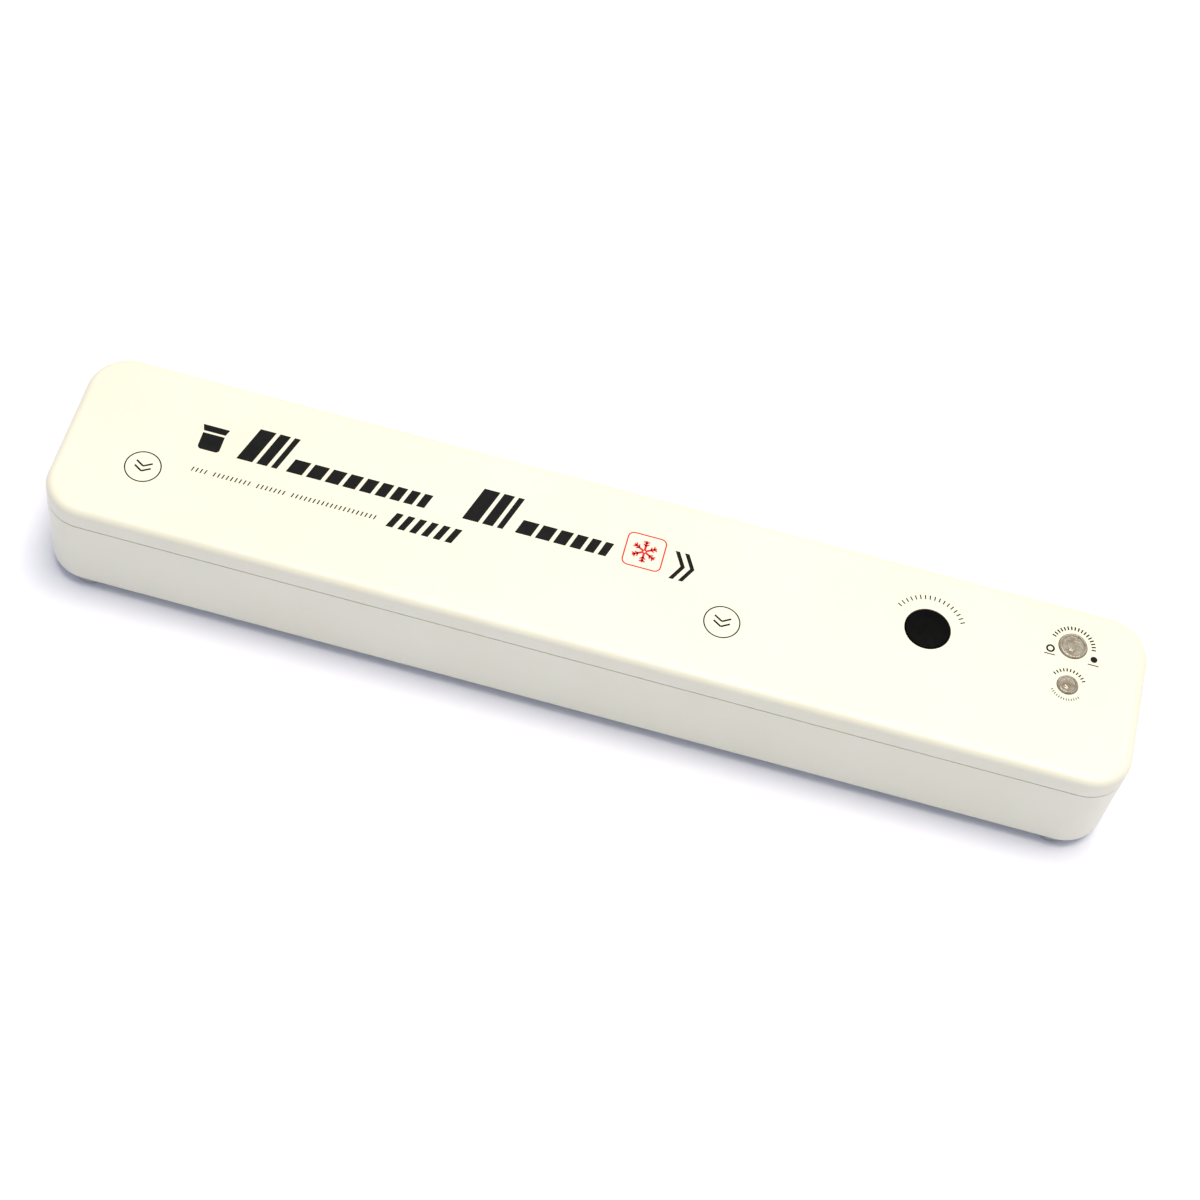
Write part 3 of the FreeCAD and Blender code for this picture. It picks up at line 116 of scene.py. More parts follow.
def makeStudio(facts):
    world = bpy.data.worlds.new("softDome")
    world.use_nodes = True
    glow = world.node_tree.nodes["Background"]
    glow.inputs["Color"].default_value = linearColour(facts["domeColour"])
    glow.inputs["Strength"].default_value = facts["domeStrength"]
    bpy.context.scene.world = world
    makeLight("keyLight", facts["keyColour"], facts["keyPower"], facts["keySize"], facts["keyPlace"])
    makeLight("fillLight", facts["fillColour"], facts["fillPower"], facts["fillSize"], facts["fillPlace"])
    half = facts["floorSize"] / 2
    mesh = bpy.data.meshes.new("floor")
    corners = [(-half, -half, 0), (half, -half, 0), (half, half, 0), (-half, half, 0)]
    mesh.from_pydata(corners, [], [(0, 1, 2, 3)])
    floor = bpy.data.objects.new("floor", mesh)
    bpy.context.scene.collection.objects.link(floor)
    paper = bpy.data.materials.new("paperFloor")
    paper.use_nodes = True
    skin = paper.node_tree.nodes["Principled BSDF"]
    skin.inputs["Base Color"].default_value = linearColour(facts["floorColour"])
    skin.inputs["Roughness"].default_value = facts["floorRoughness"]
    mesh.materials.append(paper)
    bpy.context.scene.view_settings.view_transform = "Standard"


makeCamera(camera)
makeStudio(studio)
print("camera, light and floor made")


# object coordinates in millimetres, so that every pattern below has a real size
def millimetres(mat):
    coords = addNode(mat, "TexCoord")
    scaled = addNode(mat, "VectorMath", {0: coords.outputs["Object"], "Scale": 1000.0}, operation="SCALE")
    return scaled.outputs[0]


noiseRoughness = 0.55    # how much of each finer octave a noise keeps
waveShare = 0.314        # a wave texture's period is this share of 1 / scale
middleOfNoise = {"From Min": 0.3, "From Max": 0.7}      # where nearly all of a noise's values lie


# lays one more colour over the tint where factor is high
def overlay(made, factor, colour, strength=1.0):
    mat = made["mat"]
    amount = addNode(mat, "Math", {0: factor, 1: strength}, operation="MULTIPLY")
    layer = addNode(mat, "MixRGB", {"Fac": amount.outputs[0], "Color1": made["tint"].outputs["Color"],
                                    "Color2": linearColour(colour)})
    mat.node_tree.links.new(layer.outputs["Color"], made["skin"].inputs["Base Color"])
    made["tint"] = layer


# puts one more relief on top of the grain; depth is in millimetres
def relief(made, height, depth, strength=0.6):
    mat = made["mat"]
    bump = addNode(mat, "Bump", {"Height": height, "Strength": strength, "Distance": depth * mm,
                                 "Normal": made["bump"].outputs["Normal"]})
    mat.node_tree.links.new(bump.outputs["Normal"], made["skin"].inputs["Normal"])
    made["bump"] = bump


# the start of every material, with sizes in millimetres: colour that drifts in patches, roughness
# that follows a finer cloud, a bump from the moulded or machined grain, and drawn or rolled lines
def startMaterial(name, facts):
    mat = bpy.data.materials.new(name)
    mat.use_nodes = True
    skin = mat.node_tree.nodes["Principled BSDF"]
    place = millimetres(mat)
    noise = {}
    for part, detail in (("patch", 3.0), ("cloud", 2.0), ("grain", 2.0)):
        noise[part] = addNode(mat, "TexNoise", {"Vector": place, "Scale": 1 / facts[part], "Detail": detail,
                                                "Roughness": noiseRoughness}).outputs["Fac"]
    drift = addNode(mat, "MapRange", {"Value": noise["patch"], **middleOfNoise})
    tint = addNode(mat, "MixRGB", {"Fac": drift.outputs["Result"], "Color1": linearColour(facts["colour"]),
                                   "Color2": linearColour(facts["drift"])})
    mat.node_tree.links.new(tint.outputs["Color"], skin.inputs["Base Color"])
    low, high = facts["roughness"]
    wear = addNode(mat, "MapRange", {"Value": noise["cloud"], **middleOfNoise, "To Min": low, "To Max": high})
    mat.node_tree.links.new(wear.outputs["Result"], skin.inputs["Roughness"])
    bump = addNode(mat, "Bump", {"Height": noise["grain"], "Strength": 0.5, "Distance": facts["depth"] * mm})
    mat.node_tree.links.new(bump.outputs["Normal"], skin.inputs["Normal"])
    for socket, value in facts.get("sockets", {}).items():
        skin.inputs[socket].default_value = value
    made = {"mat": mat, "skin": skin, "place": place, "tint": tint, "bump": bump}
    if "lines" in facts:
        lines = facts["lines"]
        wave = addNode(mat, "TexWave", {"Vector": place, "Scale": waveShare / lines["spacing"],
                                        "Distortion": lines["wobble"], "Detail": 1.0},
                       wave_type="BANDS", bands_direction=lines["axis"])
        relief(made, wave.outputs["Fac"], lines["depth"], lines["strength"])
    return made


# plain weave: warp where the cell is even, weft where it is odd
def weave(mat, place, spacing):
    threads = []
    for axis in ("X", "Y"):
        wave = addNode(mat, "TexWave", {"Vector": place, "Scale": waveShare / spacing, "Distortion": 0.3,
                                        "Detail": 1.0}, wave_type="BANDS", bands_direction=axis)
        threads.append(wave.outputs["Fac"])
    cells = addNode(mat, "TexChecker", {"Vector": place, "Scale": 1 / spacing})
    cloth = addNode(mat, "MixRGB", {"Fac": cells.outputs["Fac"], "Color1": threads[0], "Color2": threads[1]})
    return cloth.outputs["Color"]


# ABS, injection moulded in a spark-eroded tool: cream-white with a soft satin grain. The grain
# is about 0.15 mm on the real one and is drawn at 0.6 mm, so that it shows
def mouldedAbs():
    made = startMaterial("mouldedAbs", {
        "colour": "E7E5D4", "drift": "E3E1CE", "patch": 45.0, "cloud": 9.0, "grain": 0.6,
        "depth": 0.012, "roughness": (0.34, 0.44), "sockets": {"IOR": 1.54, "Subsurface Weight": 0.06,
                                                               "Subsurface Scale": 0.001}})
    flow = addNode(made["mat"], "TexNoise", {"Vector": made["place"], "Scale": 1 / 28.0, "Detail": 1.0,
                                             "Roughness": noiseRoughness})
    relief(made, flow.outputs["Fac"], depth=0.05, strength=0.25)   # faint sink and flow
    return made["mat"]


# ABS liner and cover, same resin on a coarser tool, a touch duller and greyer to the eye
def mouldedAbsLiner():
    made = startMaterial("mouldedAbsLiner", {
        "colour": "E1DECD", "drift": "DBD8C6", "patch": 30.0, "cloud": 6.0, "grain": 0.8,
        "depth": 0.02, "roughness": (0.42, 0.55), "sockets": {"IOR": 1.54}})
    flow = addNode(made["mat"], "TexNoise", {"Vector": made["place"], "Scale": 1 / 20.0, "Detail": 1.0,
                                             "Roughness": noiseRoughness})
    relief(made, flow.outputs["Fac"], depth=0.06, strength=0.25)
    return made["mat"]


# polyester film, metallised and laminated: cool silver with a fine rolled line along it
def silverFilm():
    made = startMaterial("silverFilm", {
        "colour": "C9CACB", "drift": "BFC1C3", "patch": 12.0, "cloud": 3.0, "grain": 0.5,
        "depth": 0.004, "roughness": (0.24, 0.36), "sockets": {"IOR": 1.64, "Metallic": 0.55},
        "lines": {"spacing": 0.7, "axis": "Y", "wobble": 1.0, "depth": 0.004, "strength": 0.3}})
    return made["mat"]


# thermoplastic rubber feet, moulded dull: soft grey that picks up dust on the tread
def mouldedFootRubber():
    made = startMaterial("mouldedFootRubber", {
        "colour": "B9B6AE", "drift": "A7A49C", "patch": 3.0, "cloud": 1.5, "grain": 0.35,
        "depth": 0.03, "roughness": (0.62, 0.82), "sockets": {"IOR": 1.5}})
    dust = addNode(made["mat"], "TexNoise", {"Vector": made["place"], "Scale": 1 / 1.2, "Detail": 4.0,
                                             "Roughness": noiseRoughness})
    overlay(made, dust.outputs["Fac"], "8F8B83", strength=0.35)
    return made["mat"]


# steel screws and pins, cold headed and nickel plated: warm grey metal with turned marks
def nickelSteel():
    made = startMaterial("nickelSteel", {
        "colour": "C6C2BA", "drift": "B4B0A8", "patch": 1.5, "cloud": 0.8, "grain": 0.2,
        "depth": 0.004, "roughness": (0.22, 0.38), "sockets": {"Metallic": 1.0},
        "lines": {"spacing": 0.25, "axis": "Z", "wobble": 0.5, "depth": 0.003, "strength": 0.3}})
    return made["mat"]


# silicone sponge, extruded and ring-joined: charcoal, matt, with closed cells whose dimples are darkened as
# painted shade in the pores
def spongeSilicone():
    made = startMaterial("spongeSilicone", {
        "colour": "37383A", "drift": "2C2D2F", "patch": 6.0, "cloud": 1.2, "grain": 0.4,
        "depth": 0.03, "roughness": (0.62, 0.78), "sockets": {"IOR": 1.41}})
    cells = addNode(made["mat"], "TexVoronoi", {"Vector": made["place"], "Scale": 1 / 0.55})
    relief(made, cells.outputs["Distance"], depth=0.05, strength=0.5)
    # painted shade: each cell's dimple darkened towards its middle
    paintedPoreShade = addNode(made["mat"], "MapRange", {"Value": cells.outputs["Distance"], "From Min": 0.0,
                                              "From Max": 0.22, "To Min": 1.0, "To Max": 0.0})
    overlay(made, paintedPoreShade.outputs["Result"], "1B1B1D", strength=0.8)
    return made["mat"]


# paper-phenolic laminate bar, sawn: brown with long paper fibres
def phenolicLaminate():
    made = startMaterial("phenolicLaminate", {
        "colour": "6B3F22", "drift": "55301A", "patch": 5.0, "cloud": 2.0, "grain": 0.3,
        "depth": 0.01, "roughness": (0.38, 0.52), "sockets": {"IOR": 1.6}})
    long = addNode(made["mat"], "VectorMath", {0: made["place"], 1: (0.08, 1.0, 1.0)}, operation="MULTIPLY")
    fibres = addNode(made["mat"], "TexNoise", {"Vector": long.outputs[0], "Scale": 1 / 0.5, "Detail": 4.0,
                                               "Roughness": noiseRoughness})
    overlay(made, fibres.outputs["Fac"], "8A5A35", strength=0.4)
    return made["mat"]


# nichrome ribbon, rolled: grey metal, straw tinted where it has been hot
def rolledNichrome():
    made = startMaterial("rolledNichrome", {
        "colour": "8C867C", "drift": "7C6F5A", "patch": 14.0, "cloud": 2.0, "grain": 0.25,
        "depth": 0.003, "roughness": (0.28, 0.42), "sockets": {"Metallic": 1.0},
        "lines": {"spacing": 0.3, "axis": "Y", "wobble": 0.6, "depth": 0.003, "strength": 0.4}})
    return made["mat"]


# glass cloth coated with fluoropolymer: tea brown, slippery sheen, plain weave of about
# 0.5 mm, drawn at 0.9 mm so that the threads show
def coatedGlassCloth():
    made = startMaterial("coatedGlassCloth", {
        "colour": "8A6844", "drift": "7B5A39", "patch": 18.0, "cloud": 2.0, "grain": 0.5,
        "depth": 0.01, "roughness": (0.30, 0.44), "sockets": {"IOR": 1.38, "Coat Weight": 0.25,
                                                              "Coat Roughness": 0.25}})
    threads = weave(made["mat"], made["place"], 0.9)
    overlay(made, threads, "A98A62", strength=0.45)
    relief(made, threads, depth=0.05, strength=0.6)
    return made["mat"]


# brass strip, stamped: yellow metal with light tarnish
def stampedBrass():
    made = startMaterial("stampedBrass", {
        "colour": "C9A75A", "drift": "A98745", "patch": 2.5, "cloud": 1.0, "grain": 0.2,
        "depth": 0.004, "roughness": (0.22, 0.40), "sockets": {"Metallic": 1.0}})
    return made["mat"]


# glass-fibre sleeving on the heater leads: off-white braid
def braidedGlassSleeve():
    made = startMaterial("braidedGlassSleeve", {
        "colour": "D8D2C2", "drift": "CBC4B2", "patch": 4.0, "cloud": 1.0, "grain": 0.3,
        "depth": 0.02, "roughness": (0.55, 0.70), "sockets": {"IOR": 1.5}})
    braid = weave(made["mat"], made["place"], 0.5)
    relief(made, braid, depth=0.05, strength=0.6)
    overlay(made, braid, "EDE8DA", strength=0.4)
    return made["mat"]


# acetal fittings, moulded: milky white, waxy gloss
def mouldedAcetal():
    made = startMaterial("mouldedAcetal", {
        "colour": "ECECE8", "drift": "E2E2DC", "patch": 8.0, "cloud": 2.0, "grain": 0.5,
        "depth": 0.006, "roughness": (0.26, 0.36), "sockets": {"IOR": 1.48, "Subsurface Weight": 0.15,
                                                               "Subsurface Scale": 0.001}})
    return made["mat"]


# silicone tube, extruded: milky and see-through, with faint die lines
def extrudedSilicone():
    made = startMaterial("extrudedSilicone", {
        "colour": "E6E9EA", "drift": "DCE0E2", "patch": 10.0, "cloud": 2.0, "grain": 0.4,
        "depth": 0.006, "roughness": (0.28, 0.40), "sockets": {"IOR": 1.41, "Transmission Weight": 0.55},
        "lines": {"spacing": 0.8, "axis": "Z", "wobble": 0.4, "depth": 0.01, "strength": 0.3}})
    return made["mat"]


# glass-filled nylon: black with pale fibre flecks and a dry surface
def glassNylon():
    made = startMaterial("glassNylon", {
        "colour": "232326", "drift": "1A1A1C", "patch": 6.0, "cloud": 1.5, "grain": 0.4,
        "depth": 0.02, "roughness": (0.45, 0.62), "sockets": {"IOR": 1.53}})
    flecks = addNode(made["mat"], "TexVoronoi", {"Vector": made["place"], "Scale": 1 / 0.7})
    spots = addNode(made["mat"], "MapRange", {"Value": flecks.outputs["Distance"], "From Min": 0.0,
                                              "From Max": 0.12, "To Min": 1.0, "To Max": 0.0})
    overlay(made, spots.outputs["Result"], "55565A", strength=0.4)
    return made["mat"]


# moulded diaphragm rubber: black with a bloom
def mouldedBlackRubber():
    made = startMaterial("mouldedBlackRubber", {
        "colour": "26262A", "drift": "313136", "patch": 5.0, "cloud": 2.0, "grain": 0.5,
        "depth": 0.02, "roughness": (0.55, 0.72), "sockets": {"IOR": 1.52}})
    return made["mat"]


# sheet steel, deep drawn and bright zinc plated: bluish spangle and draw lines
def zincSteel():
    made = startMaterial("zincSteel", {
        "colour": "B9BDC2", "drift": "A4A9B0", "patch": 3.0, "cloud": 1.2, "grain": 0.3,
        "depth": 0.004, "roughness": (0.26, 0.42), "sockets": {"Metallic": 1.0},
        "lines": {"spacing": 0.4, "axis": "X", "wobble": 0.8, "depth": 0.003, "strength": 0.3}})
    spangle = addNode(made["mat"], "TexVoronoi", {"Vector": made["place"], "Scale": 1 / 2.5})
    overlay(made, spangle.outputs["Color"], "D3D6DA", strength=0.25)
    return made["mat"]


# ferrite, pressed and sintered: charcoal grey, dry, with tiny pits
def sinteredFerrite():
    made = startMaterial("sinteredFerrite", {
        "colour": "3A3A3D", "drift": "2E2E31", "patch": 3.0, "cloud": 1.0, "grain": 0.25,
        "depth": 0.03, "roughness": (0.60, 0.80), "sockets": {"IOR": 2.2}})
    return made["mat"]


# glass-epoxy board under solder mask: green gloss with tracks just showing through
def solderMaskBoard():
    made = startMaterial("solderMaskBoard", {
        "colour": "1F6B3C", "drift": "1A5E35", "patch": 6.0, "cloud": 2.0, "grain": 0.4,
        "depth": 0.008, "roughness": (0.22, 0.34), "sockets": {"IOR": 1.55, "Coat Weight": 0.3}})
    tracks = addNode(made["mat"], "TexBrick", {"Vector": made["place"], "Scale": 0.35, "Mortar Size": 0.03,
                                               "Color1": (0, 0, 0, 1), "Color2": (0, 0, 0, 1),
                                               "Mortar": (1, 1, 1, 1)})
    overlay(made, tracks.outputs["Color"], "3F8F55", strength=0.7)
    relief(made, tracks.outputs["Color"], depth=0.03, strength=0.5)
    return made["mat"]


# glass-filled polyester switch and relay bodies: black, semi-matt
def mouldedSwitchBody():
    made = startMaterial("mouldedSwitchBody", {
        "colour": "2A2A2C", "drift": "222224", "patch": 3.0, "cloud": 1.0, "grain": 0.3,
        "depth": 0.01, "roughness": (0.38, 0.52), "sockets": {"IOR": 1.57}})
    return made["mat"]


# cast epoxy lamp bodies: red, diffused
def castRedEpoxy():
    made = startMaterial("castRedEpoxy", {
        "colour": "D4232B", "drift": "C01B25", "patch": 1.0, "cloud": 0.6, "grain": 0.3,
        "depth": 0.003, "roughness": (0.14, 0.24), "sockets": {"IOR": 1.55, "Transmission Weight": 0.35}})
    return made["mat"]


# enamelled copper wire, layer wound: orange-brown ridges of 0.4 mm
def woundCopper():
    made = startMaterial("woundCopper", {
        "colour": "B8693A", "drift": "A05630", "patch": 3.0, "cloud": 1.0, "grain": 0.3,
        "depth": 0.01, "roughness": (0.24, 0.36), "sockets": {"Metallic": 1.0, "Coat Weight": 0.4},
        "lines": {"spacing": 0.4, "axis": "Z", "wobble": 0.2, "depth": 0.1, "strength": 0.8}})
    return made["mat"]


# heat-shrunk sleeve on the capacitor: dark blue gloss
def shrunkSleeve():
    made = startMaterial("shrunkSleeve", {
        "colour": "20264A", "drift": "1A1F3D", "patch": 4.0, "cloud": 1.5, "grain": 0.5,
        "depth": 0.01, "roughness": (0.18, 0.30), "sockets": {"IOR": 1.54}})
    return made["mat"]


# solid heat-proof silicone strip, extruded: brick red, dull, with die lines along it
def extrudedStripSilicone():
    made = startMaterial("extrudedStripSilicone", {
        "colour": "B4513A", "drift": "A24631", "patch": 15.0, "cloud": 2.5, "grain": 0.4,
        "depth": 0.015, "roughness": (0.48, 0.64), "sockets": {"IOR": 1.41},
        "lines": {"spacing": 0.6, "axis": "Y", "wobble": 0.5, "depth": 0.02, "strength": 0.4}})
    return made["mat"]


# polycarbonate, moulded and polished: clear with a smoky straw cast. Its darker brown drift patches and the
# dark swirl
# streaks are painted shade: they stand in for the dark lamp cavity seen through the cap, so the eye reads
# light and dark patches
def clearPolycarbonate():
    made = startMaterial("clearPolycarbonate", {
        "colour": "FBF4E4", "drift": "B5A585", "patch": 2.2, "cloud": 1.2, "grain": 0.6,
        "depth": 0.004, "roughness": (0.04, 0.12), "sockets": {"IOR": 1.585, "Coat Weight": 0.3}})
    mat, skin = made["mat"], made["skin"]
    shadeSwirl = addNode(mat, "TexWave", {"Vector": made["place"], "Scale": 0.12, "Distortion": 5.0,
                                     "Detail": 2.0}, wave_type="RINGS", rings_direction="Z")
    paintedShadeStreak = addNode(mat, "MapRange", {"Value": shadeSwirl.outputs["Fac"], **middleOfNoise}).outputs["Result"]
    # painted shade: the lamp cavity under the cap laid on as dark brown streaks, which also make the cap less
    # clear
    overlay(made, paintedShadeStreak, "4A4234", strength=0.5)
    clear = addNode(mat, "MapRange", {"Value": paintedShadeStreak, "To Min": 0.60, "To Max": 0.25})
    mat.node_tree.links.new(clear.outputs["Result"], skin.inputs["Transmission Weight"])
    return mat


# black ABS button, moulded: near-black satin
def blackAbs():
    made = startMaterial("blackAbs", {
        "colour": "060708", "drift": "030404", "patch": 6.0, "cloud": 2.0, "grain": 0.5,
        "depth": 0.012, "roughness": (0.52, 0.66), "sockets": {"IOR": 1.54, "Specular IOR Level": 0.04}})
    return made["mat"]


# spring wire, drawn: grey metal with lines along the draw
def drawnSpringSteel():
    made = startMaterial("drawnSpringSteel", {
        "colour": "9A9CA0", "drift": "868A90", "patch": 1.5, "cloud": 0.8, "grain": 0.15,
        "depth": 0.003, "roughness": (0.24, 0.40), "sockets": {"Metallic": 1.0}})
    return made["mat"]


# pad-printed ink: black, flat, with the thin and thick places of the pad
def blackInk():
    made = startMaterial("blackInk", {
        "colour": "0A0A0B", "drift": "121214", "patch": 3.0, "cloud": 1.0, "grain": 0.5,
        "depth": 0.004, "roughness": (0.50, 0.66), "sockets": {"IOR": 1.5, "Specular IOR Level": 0.12}})
    return made["mat"]


# pad-printed ink in signal red
def redInk():
    made = startMaterial("redInk", {
        "colour": "E0262D", "drift": "D41F28", "patch": 3.0, "cloud": 1.0, "grain": 0.5,
        "depth": 0.004, "roughness": (0.50, 0.66), "sockets": {"IOR": 1.5, "Specular IOR Level": 0.12}})
    return made["mat"]


finishes = {
    "housing_plastic": mouldedAbs(), "liner_plastic": mouldedAbsLiner(), "label_film": silverFilm(),
    "foot_rubber": mouldedFootRubber(), "screw_steel": nickelSteel(), "gasket_silicone": spongeSilicone(),
    "heater_laminate": phenolicLaminate(), "nichrome": rolledNichrome(), "release_cloth": coatedGlassCloth(),
    "contact_brass": stampedBrass(), "wire_sleeve": braidedGlassSleeve(), "fitting_plastic": mouldedAcetal(),
    "hose_silicone": extrudedSilicone(), "pump_plastic": glassNylon(),
    "diaphragm_rubber": mouldedBlackRubber(), "zinc_steel": zincSteel(), "ferrite": sinteredFerrite(),
    "circuit_board": solderMaskBoard(), "switch_plastic": mouldedSwitchBody(),
    "indicator_red": castRedEpoxy(), "winding_copper": woundCopper(), "capacitor_can": shrunkSleeve(),
    "strip_silicone": extrudedStripSilicone(),
    "button_clear": clearPolycarbonate(), "button_black": blackAbs(), "spring_steel": drawnSpringSteel(),
}
inks = {"black": blackInk(), "red": redInk()}

for part in frame["record"]["subparts"]:
    frame["nodes"][part["node"]].material_slots[0].material = finishes[part["material_slot"]]
print("materials made:", len(finishes) + len(inks))


# mesh helpers; every outline below is in millimetres
def addPiece(name, verts, faces, material, body, smooth=None):
    mesh = bpy.data.meshes.new(name)
    mesh.from_pydata([Vector(v) * mm for v in verts], [], faces)
    welded = bmesh.new()
    welded.from_mesh(mesh)
    bmesh.ops.remove_doubles(welded, verts=welded.verts, dist=1e-7)
    bmesh.ops.recalc_face_normals(welded, faces=welded.faces)
    welded.to_mesh(mesh)
    welded.free()
    if smooth is not None:
        mesh.shade_smooth()
        mesh.set_sharp_from_angle(angle=math.radians(smooth))
    mesh.materials.append(material)
    piece = bpy.data.objects.new(name, mesh)
    bpy.context.scene.collection.objects.link(piece)
    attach(piece, body)
    return piece


# rounds the corners of an open or closed outline; each point is (a, b) or (a, b, radius)
def roundCorners(points, closed=False, steps=6):
    done = []
    count = len(points)
    for n, point in enumerate(points):
        here = Vector(point[:2])
        radius = point[2] if len(point) > 2 else 0
        if radius == 0 or (not closed and n in (0, count - 1)):
            done.append(tuple(here))
            continue
        toBack = Vector(points[n - 1][:2]) - here
        toNext = Vector(points[(n + 1) % count][:2]) - here
        half = toBack.angle(toNext) / 2
        setback = radius / math.tan(half)
        start, end = (here + way.normalized() * setback for way in (toBack, toNext))
        centre = here + (toBack.normalized() + toNext.normalized()).normalized() * (radius / math.sin(half))
        a, b = start - centre, end - centre
        turn = a.angle_signed(b)
        for k in range(steps + 1):
            angle = -turn * k / steps
            done.append(tuple(centre + Matrix.Rotation(angle, 2) @ a))
    return done


onAxis = 1e-9            # a radius below this, in millimetres, is a point on the axis


# spins an outline of (radius, height) about an upright axis
def lathe(outline, centre, segments=72):
    verts, faces = [], []
    rows = len(outline)
    for k in range(segments):
        a = 2 * math.pi * k / segments
        verts += [(centre[0] + r * math.cos(a), centre[1] + r * math.sin(a), z) for r, z in outline]
    for k in range(segments):
        for n in range(rows - 1):
            a, b = k * rows + n, ((k + 1) % segments) * rows + n
            quad = [a, b, b + 1, a + 1]
            if outline[n][0] < onAxis:
                quad = [a, b + 1, a + 1]
            elif outline[n + 1][0] < onAxis:
                quad = [a, b, a + 1]
            faces.append(quad)
    return verts, faces


# joins several verts-and-faces pairs into one
def gather(*parts):
    verts, faces = [], []
    for partVerts, partFaces in parts:
        faces += [[n + len(verts) for n in face] for face in partFaces]
        verts += partVerts
    return verts, faces


# flat print: outlines become thin closed pads of ink on the lid's top
inkThickness = 0.03


def printOn(name, outlines, colour):
    verts, faces = [], []
    low, high = lidTop, lidTop + inkThickness
    for outline in outlines:
        start, count = len(verts), len(outline)
        verts += [(x, y, low) for x, y in outline] + [(x, y, high) for x, y in outline]
        faces.append(list(range(start, start + count))[::-1])
        faces.append(list(range(start + count, start + 2 * count)))
        for n in range(count):
            m = (n + 1) % count
            faces.append([start + n, start + m, start + count + m, start + count + n])
    return addPiece(name, verts, faces, inks[colour], "lid")


def arcBand(centre, radius, width, start, end, step=4.0):
    count = max(2, int(abs(end - start) / step) + 1)
    angles = [math.radians(start + (end - start) * n / (count - 1)) for n in range(count)]
    inner, outer = radius - width / 2, radius + width / 2
    return ([(centre[0] + outer * math.cos(a), centre[1] + outer * math.sin(a)) for a in angles]
            + [(centre[0] + inner * math.cos(a), centre[1] + inner * math.sin(a)) for a in reversed(angles)])


# a whole ring is two half bands, so that each outline stays simple
def ringBands(centre, radius, width):
    return [arcBand(centre, radius, width, start, start + 180) for start in (0, 180)]


def stroke(start, end, width):
    a, b = Vector(start), Vector(end)
    side = (b - a).normalized().orthogonal() * width / 2
    return [tuple(a + side), tuple(b + side), tuple(b - side), tuple(a - side)]


def slantedBar(x, y, width, height, slant):
    shift = slant * height
    return [(x, y), (x + width, y), (x + width + shift, y + height), (x + shift, y + height)]


pressMark = {"places": [(-151.4, -8.8), (42.6, -9.2)], "radius": 5.85, "line": 0.42,
             "arrow": 2.7, "arrowLine": 0.62, "arrowRise": 1.7, "lifts": (1.1, -0.9)}


def printPressMarks(facts):
    outlines = []
    for x, y in facts["places"]:
        outlines += ringBands((x, y), facts["radius"], facts["line"])
        reach, rise = facts["arrow"], facts["arrowRise"]
        for lift in facts["lifts"]:      # two chevrons that point down
            tip = (x, y + lift - rise / 2)
            for side in (-1, 1):
                outlines.append(stroke((x + side * reach, y + lift + rise / 2), tip, facts["arrowLine"]))
    printOn("pressMarks", outlines, "black")


titleBand = {"base": 3.7, "slant": 0.30, "gap": 1.35,      # bars get narrower along each run
             "tallRuns": [(-124.0, (5.4, 3.6, 2.0)), (-47.6, (5.4, 3.6, 2.0))], "tall": 13.6,
             "lowRuns": [(-107.2, -56.5), (-29.8, 1.2)], "low": 5.6, "widest": 5.4, "narrowest": 2.4}


def printTitleBand(facts):
    outlines = []
    for x, widths in facts["tallRuns"]:
        for width in widths:
            outlines.append(slantedBar(x, facts["base"], width, facts["tall"], facts["slant"]))
            x += width + facts["gap"]
    for start, end in facts["lowRuns"]:
        x = start
        while True:
            share = (x - start) / (end - start)
            width = facts["widest"] + (facts["narrowest"] - facts["widest"]) * share
            if x + width > end:
                break
            outlines.append(slantedBar(x, facts["base"], width, facts["low"], facts["slant"]))
            x += width + facts["gap"]
    printOn("titleBand", outlines, "black")


bagMark = {"low": (-137.4, 3.7), "width": 7.4, "body": 6.6, "corner": 1.3, "gap": 0.8, "lip": 2.4,
           "flare": 0.8}


# a food bag: a filled pouch with a gap for its welded seam, and a flared mouth above
def printBagMark(facts):
    (x, y), w = facts["low"], facts["width"]
    seam, mouth = y + facts["body"], y + facts["body"] + facts["gap"]
    pouch = roundCorners([(x, y, facts["corner"]), (x + w, y, facts["corner"]), (x + w, seam), (x, seam)],
                         closed=True)
    lip = [(x, mouth), (x + w, mouth), (x + w + facts["flare"], mouth + facts["lip"]),
           (x - facts["flare"], mouth + facts["lip"])]
    printOn("bagMark", [pouch, lip], "black")


frostBadge = {"centre": (12.5, 9.4), "half": 6.4, "corner": 2.0, "line": 0.45,
              "arm": 4.3, "armLine": 0.75, "hub": 0.35,
              "forks": (0.52, 0.76), "barb": 1.25, "barbTurn": 52, "barbShare": 0.62}


# snow crystal in a round-cornered frame, in red
def printFrostBadge(facts):
    (x, y), half, corner = facts["centre"], facts["half"], facts["corner"]
    outlines = []
    inner = half - corner
    for n in range(4):
        turn = math.radians(90 * n)
        side = Vector((math.cos(turn), math.sin(turn)))
        across = Vector((-side.y, side.x))
        bend = Vector((x, y)) + (side + across) * inner
        outlines.append(arcBand(bend, corner, facts["line"], 90 * n, 90 * n + 90, step=15))
        middle = Vector((x, y)) + side * half
        outlines.append(stroke(middle - across * inner, middle + across * inner, facts["line"]))
    for n in range(6):
        turn = math.radians(60 * n + 30)
        way = Vector((math.cos(turn), math.sin(turn)))
        centre = Vector((x, y))
        outlines.append(stroke(centre + way * facts["hub"], centre + way * facts["arm"], facts["armLine"]))
        for along in facts["forks"]:
            fork = centre + way * facts["arm"] * along
            for side in (-1, 1):
                tip = fork + Matrix.Rotation(side * math.radians(facts["barbTurn"]), 2) @ way * facts["barb"]
                outlines.append(stroke(fork, tip, facts["armLine"] * facts["barbShare"]))
    printOn("frostBadge", outlines, "red")


runMark = {"start": 22.2, "base": 1.9, "height": 11.0, "reach": 2.9, "line": 1.5, "pitch": 3.2,
           "count": 2}


